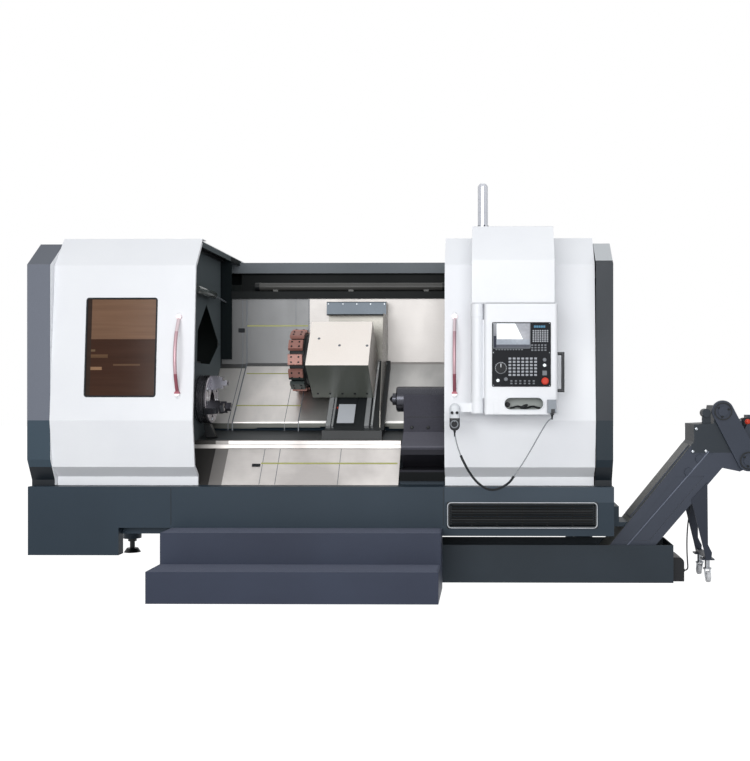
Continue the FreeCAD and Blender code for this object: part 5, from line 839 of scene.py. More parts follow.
shop = {
    "darkIron": {"colour": "26292b", "second": "212426", "fine": 120.0, "speckle": 0.10, "gloss": (0.36, 0.50),
                 "bump": 0.14, "shine": 0.35},
    # tailstock paint: faces that point up are painted lighter, a painted highlight; it is darker towards the bottom
    "tailstock": {"colour": "44444d", "second": "3d3d45", "fine": 120.0, "speckle": 0.10, "gloss": (0.44, 0.56),
                  "bump": 0.12, "shine": 0.08, "upward": "66666f",
                  "areas": [(everywhere, (None, None, 962), "2b2b31"), (everywhere, (None, None, 800), "090c0e")]},
    # cream paint: faces that point down are painted olive grey, painted shade
    "cream": {"colour": "fdf6ef", "second": "f8f0e8", "fine": 160.0, "speckle": 0.03, "gloss": (0.30, 0.42),
              "bump": 0.08, "paintedShadeBelow": "595d57", "shine": 0.25},
    # guard sheet: faces that point down are painted near black, painted shade
    "guard": {"colour": "84827c", "second": "75736e", "metal": 0.6, "fine": 260.0, "speckle": 0.08,
              "gloss": (0.22, 0.36), "bump": 0.05, "paintedShadeBelow": "24282a",
              "areas": [((1940, 998, 1985), (2430, 1003, 2100), "40474e")]},
    "bronze": {"colour": "a0736a", "second": "885e55", "fine": 140.0, "speckle": 0.12, "gloss": (0.34, 0.50),
               "bump": 0.12, "metal": 0.25,
               "areas": [((1700, 560, 1370), (1850, 724, 1482), "1f2a29")]},
    "chuck": {"colour": "a8a3a8", "second": "87858b", "metal": 1.0, "grain": (1, 0.05, 0.05), "fine": 380.0,
              "speckle": 0.07, "gloss": (0.20, 0.34), "bump": 0.04},
    "jaw": {"colour": "77777d", "second": "65656c", "metal": 1.0, "fine": 200.0, "speckle": 0.10,
            "gloss": (0.26, 0.40), "bump": 0.08},
    "nose": {"colour": "4b4c52", "second": "3c3d43", "metal": 0.9, "fine": 260.0, "speckle": 0.08,
             "gloss": (0.20, 0.32), "bump": 0.05},
    "lamp": {"colour": "50504e", "second": "484846", "fine": 200.0, "speckle": 0.03, "gloss": (0.30, 0.40),
             "shine": 0.3, "areas": [(everywhere, (1345, None, None), "17191b"),
                                     ((2863, None, None), everywhere, "17191b")]},
    # the groove under the rail is painted near black as shade, the ledge behind the rail painted dull grey as a painted
    # reflection, and the apron's left end painted darker as the headstock's shadow
    "apron": dict(metals["stainless"], colour="e2dedb", second="bab6b4", cloud=(0.8, 1, 0.4),
                  areas=[((None, 338, 955), (None, 352, 989), "1a1d1b"), ((None, 380, None), everywhere, "73777a"),
                         (everywhere, (1330, 352, None), "8f8c8a"), (everywhere, (1235, 352, None), "4b4948")]),
}


def coverSteelLitAndShaded(colour, second, back):
    # the same brushed sheet in a tone of its own for each cover, painted lighter where light falls and darker where
    # shade falls, its upright back plane painted duller and its front plane in shade
    return dict(metals["stainless"], colour=colour, second=second,
                areas=[((None, 1110, None), everywhere, back), (everywhere, (None, None, 1133), "51524f")])


# the carriage cover is painted darker than the left and right covers, and the left covers' back plane darker still:
# painted shade
dress("leftCoverSteel", coverSteelLitAndShaded("ebe7e4", "d3d1cf", "6f7071"), "left_way_cover", "left_mid_cover")
dress("carriageCoverSteel", coverSteelLitAndShaded("c6c5c3", "afafae", "a09d9b"), "carriage_cover")
dress("rightCoverSteel", coverSteelLitAndShaded("eae5e1", "dad6d3", "ebe6e2"), "right_way_cover")
dress("apronSteel", shop["apron"], "splash_apron")
dress("groundSteel", metals["ground"], "spindle", "slide_rails")
dress("noseSteel", shop["nose"], "tailstock_quill", "live_center")
dress("darkIron", shop["darkIron"], "headstock_casting", "saddle")
dress("tailstockIron", shop["tailstock"], "tailstock_body")
dress("creamIron", shop["cream"], "turret_housing")
dress("guardSheet", shop["guard"], "slide_guard")
dress("toolBronze", shop["bronze"], "tool_blocks")
dress("chuckSteel", shop["chuck"], "chuck_body")
dress("jawSteel", shop["jaw"], "chuck_jaw_1", "chuck_jaw_2", "chuck_jaw_3")
dress("lampGlass", shop["lamp"], "work_light")
dress("discSteel", metals["black"], "turret_disc")


coverDetail = {
    "front": 680.0,                      # Y of the outermost cover's front and back planes
    "back": 1145.0,
    "nest": 8.0,                         # each cover lies this much inside the one before
    "rise": 455.0,                       # the outermost slope is this much above its own Y
    "skirt": 90.0,
    "top": 2128.0,
    # the cover, X and half width of each joint
    "seams": ((1, 1675.0, 2.2), (1, 1274.0, 5.0), (0, 1238.0, 3.0), (2, 1784.0, 4.0)),
    "owners": ("machine", "mid_cover", "carriage"),
    "stands": 0.15,                      # wipers and joints lie this proud; the covers pass 0.3 mm over them
    "wiperWidth": 11.0,
    "acrossToY": 2.83,                   # a width across the slope over this: how far it goes in Y either way
    "wipersOnMid": ((1273.0, 1776.0, 796.0), (1292.0, 1632.0, 1050.0)),  # low and high X, Y
    "backWiper": (1277.0, 1775.0, 1912.0),
    "backWiperY": 1137.0,
    "apronLow": (140.0, 708.0),          # Y and Z of the apron's foot and top
    "apronHigh": (345.0, 958.0),
    "apronSeams": (1600.0, 1713.0, 2163.0),
    "apronSeam": (2.0, 1.4, 4.0, 6.0),   # half width, rise, and how far it ends from the foot and the top
    "apronWiper": (1590.0, 2584.0, 260.0),
    "apronWiperRise": 2.0,
    "backStop": ((1202, 1140.4, 1858), (1255, 1146, 1892)),
    "apronStop": (1526.0, 1586.0, 248.0),
    "apronStopSize": (11.0, 8.0),        # half its width up the slope, and its rise
}


def addCoverDetail(values):
    def slopeRise(step):
        # how far the slope of a cover lies above its own Y: the first one's, and twice the nesting for each step
        return values["rise"] + 2 * values["nest"] * step

    joints = {owner: [] for owner in values["owners"]}
    for step, x, width in values["seams"]:
        # the visible line of a telescopic cover: up its front, along the 45 degree slope and up its back plane
        front, rear = values["front"] - values["nest"] * step, values["back"] - values["nest"] * step
        bend, corner = front + slopeRise(step), rear + slopeRise(step)
        section = [(front, bend - values["skirt"]), (front, bend), (rear, corner), (rear, values["top"])]
        joints[values["owners"][step]].append(strip(section, values["stands"], x - width, x + width))
    for body, shapes in joints.items():
        makePiece(body + "_cover_seams", shapes, greyPlastic, body)
    wide, flat = values["wiperWidth"], values["stands"]
    reach = wide / values["acrossToY"]
    wipers = [strip([(y - reach, y - reach + slopeRise(1)), (y + reach, y + reach + slopeRise(1))], flat, low, high)
              for low, high, y in values["wipersOnMid"]]
    low, high, z = values["backWiper"]
    plane = values["backWiperY"]
    wipers.append(strip([(plane, z - wide / 2), (plane, z + wide / 2)], flat, low, high))
    makePiece("mid_cover_wipers", wipers, limeRubber, "mid_cover")

    # the apron's joints, its wiper and a stop lie on its own steeper slope, at a Y along the line from foot to top
    foot, top = np.array(values["apronLow"]), np.array(values["apronHigh"])
    ahead = (top - foot) / np.linalg.norm(top - foot)

    def onApron(place, half, rise):
        low, high, y = place
        middle = foot + ahead * (y - foot[0]) / ahead[0]
        return strip([middle - ahead * half, middle + ahead * half], rise, low, high)

    half, rise, fromFoot, fromTop = values["apronSeam"]
    joints = [strip([foot + ahead * fromFoot, top - ahead * fromTop], rise, x - half, x + half)
              for x in values["apronSeams"]]
    makePiece("apron_seams", joints, greyPlastic, "machine")
    makePiece("apron_wiper", [onApron(values["apronWiper"], wide / 2, values["apronWiperRise"])], limeRubber,
              "machine")
    # rubber stops that the covers close on
    stops = [slab(*values["backStop"]), onApron(values["apronStop"], *values["apronStopSize"])]
    makePiece("cover_stops", stops, rubber, "machine", bevel=1.5)


addCoverDetail(coverDetail)

chuckDetail = {
    "axis": (480.0, 1320.0),             # Y and Z of the spindle
    "face": 1172.0,
    "radius": 180.0,
    "sides": 72,
    "grooves": (1094.0, 1150.0),         # X of the dark lines round the rim
    "band": ((-1, -3), (0.7, -2.4), (0.7, 2.4), (-1, 3)),  # radius past the rim, and height along the axis
    "faceRings": (92.0, 138.0),
    "faceRing": ((-1.6, -1), (-1.2, 0.7), (1.2, 0.7), (1.6, -1)),
    "bolt": ((7, 0), (7, 4), (12, 4), (13, 2), (13, -1), (7, -1)),
    "boltRing": (150.0, 3, "x", 30.0),   # radius, count, axis and first angle
    "jawScrew": 10.0,
    "jawScrewAt": (1196.0, 115.0),       # X and radius
    "tooth": ((-27, 0), (27, 0), (27, 2), (-27, 2)),  # across the jaw and outwards
    "toothLength": 3.0,
    # radius and X of the gripping teeth along the stepped face of each top jaw
    "teeth": ((137.5, 1268.0), (137.5, 1276.0), (137.5, 1284.0), (167.5, 1222.0), (167.5, 1232.0)),
    "partition": 1070.2,                 # X of the wall behind the chuck
    "partitionRing": (150.0, 8, "x", 22.5),
    "partitionScrew": 7.0,
}


def addChuckDetail(values):
    centre = np.array([0.0, *values["axis"]])
    bands = [turned(np.array(values["band"]) + [values["radius"], 0], centre + [x, 0, 0], (1, 0, 0), values["sides"])
             for x in values["grooves"]]
    makePiece("chuck_rim_bands", bands, blackSteel, "spindle")
    face = centre + [values["face"], 0, 0]
    rings = [turned(np.array(values["faceRing"]) + [radius, 0], face, (1, 0, 0), values["sides"])
             for radius in values["faceRings"]]
    rings.append(copies(turned(values["bolt"], (0, 0, 0), (1, 0, 0), 16), ringPlaces(face, *values["boltRing"])))
    makePiece("chuck_face_rings", rings, screwSteel, "spindle")
    head = screwHead(values["jawScrew"], (1, 0, 0))
    headX, headOut = values["jawScrewAt"]
    tooth = np.array(values["tooth"])
    for number in (1, 2, 3):
        low, high = (fromFrame(corner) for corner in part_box(f"chuck_jaw_{number}"))
        out = (low + high) / 2 - centre
        out[0] = 0
        out = out / np.linalg.norm(out)
        across = np.cross([1, 0, 0], out)
        shapes = [copies(head, [centre + out * headOut + [headX, 0, 0]])]
        for reach, x in values["teeth"]:
            rows = centre + out * reach + tooth[:, :1] * across + tooth[:, 1:] * out
            shapes.append(ringSolid([rows + [x, 0, 0], rows + [x + values["toothLength"], 0, 0]]))
        makePiece(f"jaw_{number}_screw_and_teeth", shapes, screwSteel, f"jaw_{number}")
    screws = copies(screwHead(values["partitionScrew"], (1, 0, 0)),
                    ringPlaces(centre + [values["partition"], 0, 0], *values["partitionRing"]))
    makePiece("partition_screws", [screws], screwSteel, "machine")


addChuckDetail(chuckDetail)

hoodDetail = {
    "lampPath": ((1105.0, 318.0, 2131.0), (1105.0, 332.0, 2131.0), (1105.0, 758.0, 2126.0), (1105.0, 772.0, 2126.0)),
    "lampRadius": (24.0, 30.0, 30.0, 24.0),
    "lampLook": {"colour": "5a605f", "second": "4b5150", "fine": 200.0, "speckle": 0.03, "gloss": (0.14, 0.24),
                 "coat": 0.3},
    "rodPath": ((1105.0, 770.0, 2126.0), (1105.0, 900.0, 2119.0), (1105.0, 1000.0, 2112.0), (1105.0, 1118.0, 2104.0)),
    "rodRadius": 7.0,
    "duct": ((1072.0, 384.0, 2426.0), (1104.0, 1092.0, 2474.0)),
    "shadowBlockOutline": ((1114, 1134), (1160, 1134), (1206, 1036), (1130, 1030)),  # X and Z
    "shadowBlockY": (452.0, 514.0),
}


def addHoodDetail(values):
    dullGlass = makeLook("dullGlass", values["lampLook"])
    makePiece("hood_lamp", [alongPath(values["lampPath"], values["lampRadius"], 20, facing=(1, 0, 0))], dullGlass,
              "machine")
    makePiece("hood_lamp_rod", [alongPath(values["rodPath"], values["rodRadius"], 10, facing=(1, 0, 0))], greyPlastic,
              "machine")
    makePiece("hood_duct", [slab(*values["duct"])], blackSteel, "machine", bevel=4.0)
    # a dark block under the chuck, put where there is only shade: a painted shadow
    makePiece("painted_shadow_block", [prism(values["shadowBlockOutline"], *values["shadowBlockY"], "y")], blackSteel, "machine",
              bevel=3.0)


addHoodDetail(hoodDetail)

turretDetail = {
    "axis": (779.0, 1619.0),             # Y and Z of the turret
    "stations": 12,
    "blockReach": 238.0,
    "blockScrews": ((1752.0, -20.0), (1752.0, 20.0), (1808.0, -20.0), (1808.0, 20.0)),  # X and sideways
    "screwRadius": 7.5,
    "cap": ((0, 16), (40, 16), (46, 12), (60, 12), (66, 6), (88, 6), (92, -1), (0, -1)),
    "capAt": 1722.0,
    "studsAt": 1715.8,
    "studRing": (77.0, 8, "x"),          # radius, count and axis
    "studRadius": 7.0,
    # Y and Z of the ends of the housing's two front faces, and the way each faces
    "upperFace": ((400.0, 1574.0), (690.0, 1920.0)),
    "upperFacing": (0, -0.766, 0.642),
    "lowerFace": ((400.0, 1574.0), (740.0, 1326.8)),
    "lowerFacing": (0, -0.588, -0.809),
    "plugs": ((1959.0, 572.0), (2121.7, 527.0), (2329.8, 525.0)),  # X and Y on the upper front face
    "plug": ((0, 1.0), (4, 1.0), (5, 2.2), (9, 2.2), (10.5, 0.8), (10.5, -1), (0, -1)),
    "boltsX": (1930.0, 2310.0, 5),
    "boltShare": 0.86,                   # how far down the lower face they sit
    "boltRadius": 9.0,
}


def addTurretDetail(values):
    centre = np.array([0.0, *values["axis"]])
    count = values["stations"]
    turns = turnsAbout("x", np.repeat(np.arange(count) * 360.0 / count, len(values["blockScrews"])))
    seats = np.array([(x, side, values["blockReach"]) for x, side in values["blockScrews"]] * count)
    places = np.einsum("nij,nj->ni", turns, seats) + centre
    makePiece("tool_block_screws", [copies(screwHead(values["screwRadius"], (0, 0, 1)), places, turns)], blackSteel,
              "turret")
    cap = turned(values["cap"], centre + [values["capAt"], 0, 0], (-1, 0, 0), 48)
    studs = copies(screwHead(values["studRadius"], (-1, 0, 0)),
                   ringPlaces(centre + [values["studsAt"], 0, 0], *values["studRing"]))
    makePiece("turret_cap", [cap, studs], screwSteel, "turret")
    # lifting plugs in the housing's upper face, at the height of that face
    (startY, startZ), (endY, endZ) = values["upperFace"]
    places = [(x, y, startZ + (y - startY) * (endZ - startZ) / (endY - startY)) for x, y in values["plugs"]]
    plug = turned(values["plug"], (0, 0, 0), values["upperFacing"], 18)
    makePiece("housing_plugs", [copies(plug, places)], greyPlastic, "cross_slide")
    # bolts that clamp the housing to its slide, along the lower front face
    low, high = np.array(values["lowerFace"])
    seats = [(x, *(low + (high - low) * values["boltShare"])) for x in np.linspace(*values["boltsX"])]
    makePiece("housing_bolts", [copies(screwHead(values["boltRadius"], values["lowerFacing"]), seats)], blackSteel,
              "cross_slide")


addTurretDetail(turretDetail)

saddleDetail = {
    "plateX": (2092.0, 2222.0),
    "plateY": (575.0, 715.0),
    "plateRise": 562.6,                  # the slide strip's 45 degree face lies this much above its own Y
    "plateThick": 2.0,
    "capAt": (2083.0, 700.0, 1250.0),    # on the strip beside the left rail
    "cap": ((0, 8), (5, 8), (7, 6), (8, 0), (8, -2), (0, -2)),
    "screwRadius": 7.0,
    "barScrews": (1962.0, 2080.0, 2190.0, 2300.0, 2412.0),
    "barAt": (1000.0, 2078.0),           # Y and Z of those screws
    "sideAt": (2426.2, 1030.0),          # X and Y of the screws down the guard's side
    "sideRows": (1300.0, 1900.0, 5),
}


def addSaddleDetail(values):
    # a pale cover lies over the cross-feed screw
    low, high = values["plateY"]
    rise = values["plateRise"]
    cover = strip([(low, low + rise), (high, high + rise)], values["plateThick"], *values["plateX"])
    makePiece("feed_screw_cover", [cover], palePlastic, "carriage", bevel=0.6)
    cap = turned(values["cap"], values["capAt"], (0, -1, 1), 20)
    makePiece("oil_cap", [cap], redPlastic, "carriage")
    bar = copies(screwHead(values["screwRadius"]), [(x, *values["barAt"]) for x in values["barScrews"]])
    x, y = values["sideAt"]
    side = copies(screwHead(values["screwRadius"], (1, 0, 0)), lattice((x,), (y,), np.linspace(*values["sideRows"])))
    makePiece("guard_screws", [bar, side], screwSteel, "carriage")


addSaddleDetail(saddleDetail)

tailDetail = {
    "face": 370.0,                       # Y of the casting's front
    "line": ((2640.0, -2.0, 1187.0), (3330.0, 1.0, 1191.0)),  # corners of the dark line, Y against the face
    "boltsX": (2680.0, 2800.0, 2920.0),
    "boltsZ": 1112.0,
    "boltsProud": 0.5,
    "boltRadius": 13.0,
    "tail": 3350.0,
    "cap": ((0, 22), (34, 22), (40, 16), (78, 14), (84, 8), (102, 6), (106, -1), (0, -1)),
    "studsOut": 6.0,
    "studRing": (94.0, 6, "x"),
    "studRadius": 8.0,
}


def addTailDetail(values):
    line = slab(*(np.array(values["line"]) + [0, values["face"], 0]))
    bolts = copies(screwHead(values["boltRadius"]),
                   [(x, values["face"] - values["boltsProud"], values["boltsZ"]) for x in values["boltsX"]])
    makePiece("tailstock_bolts", [bolts, line], blackSteel, "tailstock")
    end = np.array([values["tail"], *chuckDetail["axis"]])
    cap = turned(values["cap"], end, (1, 0, 0), 40)
    studs = copies(screwHead(values["studRadius"], (1, 0, 0)),
                   ringPlaces(end + [values["studsOut"], 0, 0], *values["studRing"]))
    makePiece("tailstock_end_cap", [cap, studs], screwSteel, "tailstock")


addTailDetail(tailDetail)
print("working space done")


# operator's panel and hand-held pendant

dress("panelPlastic", {"colour": "1a1c21", "second": "15171b", "fine": 320.0, "speckle": 0.08,
                       "gloss": (0.46, 0.58), "shine": 0.12}, "control_panel")
dress("dialPlastic", plastics["black"], "override_dial", "mpg_axis_knob", "mpg_scale_knob")
dress("stopPlastic", plastics["red"], "estop_button")
dress("buttonPlastic", {"colour": "e9f0f2", "second": "dde6e9", "fine": 320.0, "speckle": 0.02,
                        "gloss": (0.2, 0.3), "glow": ("dfe8ee", 0.25)}, "power_button", "cycle_button")
dress("connectorPlastic", {"colour": "757a80", "second": "666b71", "metal": 0.5, "fine": 200.0, "speckle": 0.06,
                           "gloss": (0.28, 0.40), "areas": [((3664, None, None), (3690, None, 1262), "1b1d20")]},
      "cable_connector")
dress("pendantPlastic", {"colour": "d3d7db", "second": "c8ccd1", "fine": 300.0, "speckle": 0.03,
                         "gloss": (0.30, 0.42), "areas": [(everywhere, (None, None, 1199), "222529")]},
      "mpg_pendant")
dress("wheelPlastic", plastics["black"], "mpg_wheel")
dress("towerGlass", {"colour": "c9cbd2", "second": "b9bcc4", "fine": 200.0, "speckle": 0.03,
                     "gloss": (0.10, 0.20), "coat": 0.5, "metal": 0.35,
                     "areas": [((None, None, 2880), everywhere, "e8eaee")]}, "tower_light")

screenDetail = {
    # a pale field, a grey side column and a dark row of soft keys
    "look": {"colour": "a3a5ab", "second": "989aa1", "fine": 60.0, "speckle": 0.08, "gloss": (0.14, 0.22),
             "bump": 0.0, "shine": 0.3,
             "areas": [(everywhere, (None, None, 1728), "99a0aa"), (everywhere, (None, None, 1694), "53565f"),
                       (everywhere, (3300, None, 1832), "7d7f85"), (everywhere, (3300, None, 1752), "2b2f3c")]},
    "reflectionFrom": (3302, None, 1730),    # lower left corner of the painted reflection
    "edge": (3429.0, 1829.0),            # X and Z of a point on its slanting right edge
    "slant": 0.49,                       # how far that edge moves left for each mm up
    "reflectionTone": "f4f8fa",
    "glow": 0.22,
}


def screenWithPaintedReflection(values):
    # a lit display with a painted reflection on it: a brighter slanted patch that glows with the rest of the screen
    made = makeLook("screenGlass", values["look"])
    tree = made.node_tree
    shader = tree.nodes["Principled BSDF"]
    painted = shader.inputs["Base Color"].links[0].from_socket
    split = node(tree, "ShaderNodeSeparateXYZ", {0: node(tree, "ShaderNodeTexCoord").outputs["Object"]})
    # left of the edge, x plus the slant times z stays below what it is on the edge
    total = maths(tree, "ADD", split.outputs[0], maths(tree, "MULTIPLY", split.outputs[2], values["slant"]))
    x, z = values["edge"]
    left = maths(tree, "LESS_THAN", total, (x - outline["middleX"] + values["slant"] * z) / 1000.0)
    inside = insideBox(tree, split, values["reflectionFrom"], everywhere)
    # the painted reflection, which also feeds the glow
    reflected = mixTones(tree, maths(tree, "MULTIPLY", left, inside), painted, tone(values["reflectionTone"]))
    tree.links.new(reflected, shader.inputs["Base Color"])
    tree.links.new(reflected, shader.inputs["Emission Color"])
    shader.inputs["Emission Strength"].default_value = values["glow"]
    return made


panelDetail = {
    "face": -305.0,                      # Y of the panel's front; every Y below is measured from it
    "screenLow": (3278.0, 1670.0),
    "screenHigh": (3526.0, 1838.0),
    "screenCorner": 4.0,
    "glass": ((1.0, 2.2), (1.0, 0.6), (0.985, -0.4)),  # share of the screen's size, and Y
    "bezel": 3.2,
    # name, look, slot, key size and height, then first key, pitch and count of each block of keys
    "keyboards": (
        ("machine_keys", keyPlastic, "white_plastic", (19.0, 13.5), 3.0, ((3390.0, 1600.0), (28.7, 22.0), (7, 6))),
        ("page_keys", keyPlastic, "white_plastic", (11.0, 10.0), 2.4, ((3548.0, 1786.0), (15.6, 14.0), (7, 6))),
        ("blue_keys", bluePlastic, "green_plastic", (13.0, 15.0), 2.4, ((3558.0, 1814.0), (15.6, 0.0), (5, 1))),
        ("soft_keys", greyPlastic, "grey_plastic", (12.0, 8.0), 2.4, ((3300.0, 1660.0), (19.0, 0.0), (10, 1))),
        ("dark_keys", greyPlastic, "grey_plastic", (14.0, 10.0), 2.0, ((3540.0, 1690.0), (22.0, 17.0), (5, 3)),
         ((3400.0, 1450.0), (30.0, 17.0), (6, 2))),
    ),
    # rings of a key: share of its size, Y behind the face, and share of its height before it
    "keyRings": ((1.0, 0.5, 0.0), (1.0, 0.0, 0.6), (0.86, 0.0, 1.0)),
    "keyCorner": 2.0,
    "dialAt": (3329.6, 1537.0),
    "dialRing": ((34, 0.5), (34, -0.8), (40, -0.8), (40, 0.5)),
    "mark": ((-0.8, 35), (0.8, 35), (0.8, 39), (-0.8, 39)),  # across and outwards
    "markY": (-1.2, 0.0),
    "markTurns": (-135.0, 135.0, 15),
    "pointer": ((3327.6, 1540), (3331.6, 1540), (3331.6, 1566), (3327.6, 1566)),
    "pointerProud": 0.4,                 # before the dial's own front
    "pointerBack": -320.0,               # a Y of the machine
    "lampCup": ((0, 2), (8, 2), (9, 3.6), (12, 3.6), (13, -0.5), (0, -0.5)),
    "lampsAt": ((3622.6, 1592.0), (3363.0, 1462.0)),
    "switchLow": (3608.0, 1487.0),
    "switchHigh": (3638.0, 1519.0),
    "switchLayers": ((0, 0.5, 5), (0, -2.0, 5), (4, -2.0, 4), (4, -0.6, 4)),  # inset, Y and corner radius
    "screwRadius": 3.2,
    "screwsX": (3279.0, 3656.0),
    "screwsZ": (1420.0, 1640.0, 1836.0),
}


def keycap(values, size, height):
    # a rounded rectangle about the origin, drawn in a little at its top
    half = np.array(size) / 2
    base = roundedLoop(-half, half, values["keyCorner"], 3)
    return ringSolid([standing(base * share, behind - height * before) for share, behind, before in values["keyRings"]])


def keyGrid(start, pitch, count, face):
    # places of the keys, columns to the right and rows down
    x = start[0] + np.arange(count[0]) * pitch[0]
    z = start[1] - np.arange(count[1]) * pitch[1]
    return lattice(x, (face,), z)


def addPanel(values):
    face = values["face"]
    # the display: a glass plate with a bezel, set in the panel's recess
    low, high = np.array(values["screenLow"]), np.array(values["screenHigh"])
    loop = roundedLoop(low, high, values["screenCorner"], 4)
    middle = (low + high) / 2
    rings = [standing((loop - middle) * share + middle, face + y) for share, y in values["glass"]]
    makePiece("screen_glass", [ringSolid(rings)], screenWithPaintedReflection(screenDetail), "control_box")
    makePiece("screen_bezel", [alongPath(standing(loop, face), values["bezel"], 8, closed=True, flat=0.6)],
              greyPlastic, "control_box", creased=60)
    for name, look, slot, size, height, *blocks in values["keyboards"]:
        places = np.concatenate([keyGrid(*block, face) for block in blocks])
        makePiece(name, [copies(keycap(values, size, height), places)], look, "control_box")
    # the dial's scale: a ring and its marks
    dial = (values["dialAt"][0], face, values["dialAt"][1])
    makePiece("dial_scale_ring", [turned(values["dialRing"], dial, (0, 1, 0), 48)], greyPlastic, "control_box")
    turns = turnsAbout("y", np.linspace(*values["markTurns"]))
    marks = copies(prism(values["mark"], *values["markY"], "y"), [dial] * len(turns), turns)
    makePiece("dial_scale_marks", [marks], whitePlastic, "control_box")
    front = float(fromFrame(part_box("override_dial")[0])[1]) - values["pointerProud"]
    makePiece("dial_pointer", [prism(values["pointer"], front, values["pointerBack"], "y")], whitePlastic,
              "override_dial")
    # lamps and a key switch above the stop button
    lamps = [turned(values["lampCup"], (x, face, z), (0, -1, 0), 22) for x, z in values["lampsAt"]]
    makePiece("panel_lamps", lamps, greyPlastic, "control_box")
    layers = [(inset, face + y, corner) for inset, y, corner in values["switchLayers"]]
    makePiece("key_switch_plate", [plate(values["switchLow"], values["switchHigh"], layers)], greyPlastic,
              "control_box")
    screws = copies(screwHead(values["screwRadius"]), lattice(values["screwsX"], (face,), values["screwsZ"]))
    makePiece("panel_screws", [screws], screwSteel, "control_box")


addPanel(panelDetail)

boxDetail = {
    "recessLow": (3351.0, 1254.0),
    "recessHigh": (3618.0, 1340.0),
    "front": -300.0,
    "rim": 4.0,
    "holder": ((0, 6), (14, 6), (17, 3), (17, -1), (11, -1), (11, -12), (0, -12)),
    "holderAt": (3376.0, -232.0, 1291.0),
    "leadFrom": (3395.0, -248.0, 1268.0),
    "leadReach": (200.0, 14.0, 10.0),    # its length in X, and how far it waves in Y and Z
    "leadWaves": (9.0, 6.3),             # radians of those waves from end to end
    "leadRadius": 6.0,
    "gripEnds": ((3462.0, -262.0, 1266.0), (3512.0, -262.0, 1290.0)),
    "gripRadius": (6, 10, 11, 11, 9, 5),
    "plateLow": (3278.0, 1232.0),
    "plateHigh": (3318.0, 1326.0),
    "plateCorner": 6.0,
    "plateY": (-303.5, -298.0),
}


def addBoxDetail(values):
    low, high = values["recessLow"], values["recessHigh"]
    # half circles at both ends, a hair under half the height so that no two points coincide
    loop = roundedLoop(low, high, (high[1] - low[1]) / 2 - 0.01, 10)
    makePiece("recess_rim", [alongPath(standing(loop, values["front"]), values["rim"], 10, closed=True, flat=0.7)],
              whitePlastic, "control_box", creased=60)
    # what lies in the recess: a round holder at its left and a waving lead with a dark grip
    holder = turned(values["holder"], values["holderAt"], (0, -1, 0), 24)
    along = np.linspace(0, 1, 40)
    waveY, waveZ = values["leadWaves"]
    waves = np.stack([along, np.sin(waveY * along), np.sin(waveZ * along) ** 2], axis=1)
    lead = np.array(values["leadFrom"]) + np.array(values["leadReach"]) * waves
    grip = np.linspace(*values["gripEnds"], len(values["gripRadius"]))
    makePiece("recess_holder", [holder, alongPath(lead, values["leadRadius"], 10),
                                alongPath(grip, values["gripRadius"], 14)],
              blackPlastic, "control_box")
    boss = prism(roundedLoop(values["plateLow"], values["plateHigh"], values["plateCorner"], 4), *values["plateY"], "y")
    makePiece("holster_plate", [boss], nodes["control_box"].data.materials[0], "control_box",
              bevel=1.2)


addBoxDetail(boxDetail)

pendantDetail = {
    "low": (2983.0, 1113.0),
    "high": (3053.0, 1299.0),
    # inset, Y and corner radius of the shell, from its back to its crowned front
    "layers": ((5, -226, 29.9), (0, -231, 34.9), (0, -260, 34.9), (3, -268, 31.9), (8, -273, 26.9),
               (15, -276, 19.9)),
    "gripAbout": (3018.0, -268.0, 1263.0),
    "gripRing": (24.0, 36, "y"),         # radius, points round it and axis
    "gripFrom": 2,                       # the grip runs over the points from this one to the one before gripTo
    "gripTo": 17,
    "gripRadius": 6.0,
    "wheelAt": (3018.0, 1160.0),
    "wheelRing": ((20, 0.5), (20, 1.2), (24, 1.6), (28, 1.2), (28, 0.5)),
    "knobAt": (3018.0, 1179.0),
    "knob": ((0, 2.5), (4, 2.5), (5, 1.4), (5, -0.5), (0, -0.5)),
}


def addPendantDetail(values):
    # an oval shell with a dark grip over its top, and a ring and a finger knob on its wheel
    shell = makePiece("pendant_shell", [plate(values["low"], values["high"], values["layers"], 9)],
                      nodes["mpg_pendant"].data.materials[0], "machine", creased=50)
    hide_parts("mpg_pendant")
    arc = ringPlaces(values["gripAbout"], *values["gripRing"])[values["gripFrom"]:values["gripTo"]]
    makePiece("pendant_grip", [alongPath(arc, values["gripRadius"], 10)], rubber, "machine",
              creased=60)
    wheel = fromFrame(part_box("mpg_wheel")[0])[1]
    ring, knob = (turned(values[profile], (values[place][0], wheel, values[place][1]), (0, -1, 0), sides)
                  for profile, place, sides in (("wheelRing", "wheelAt", 40), ("knob", "knobAt", 16)))
    makePiece("wheel_ring_and_grip", [ring, knob], greyPlastic, "mpg_wheel")


addPendantDetail(pendantDetail)

towerDetail = {
    "foot": (3205.0, 250.0, 2576.0),
    "clipRing": (36.0, 6, "z", -75.0),   # radius, count, axis and first angle
    "clip": ((0, 2.5), (5, 2.5), (7, 1), (7, -2), (0, -2)),
}


def addTowerDetail(values):
    clip = turned(values["clip"], (0, 0, 0), (0, -1, 0), 12)
    makePiece("tower_clips", [copies(clip, ringPlaces(values["foot"], *values["clipRing"]))], blackPlastic, "machine")


addTowerDetail(towerDetail)
print("panel, box and pendant done")


# chip conveyor

dress("casterFork", metals["zinc"], "caster_fork_1", "caster_fork_2")
dress("casterRubber", {"colour": "d5d6d8", "second": "c5c7ca", "fine": 200.0, "speckle": 0.06,
                       "gloss": (0.34, 0.48)}, "caster_wheel_1", "caster_wheel_2")

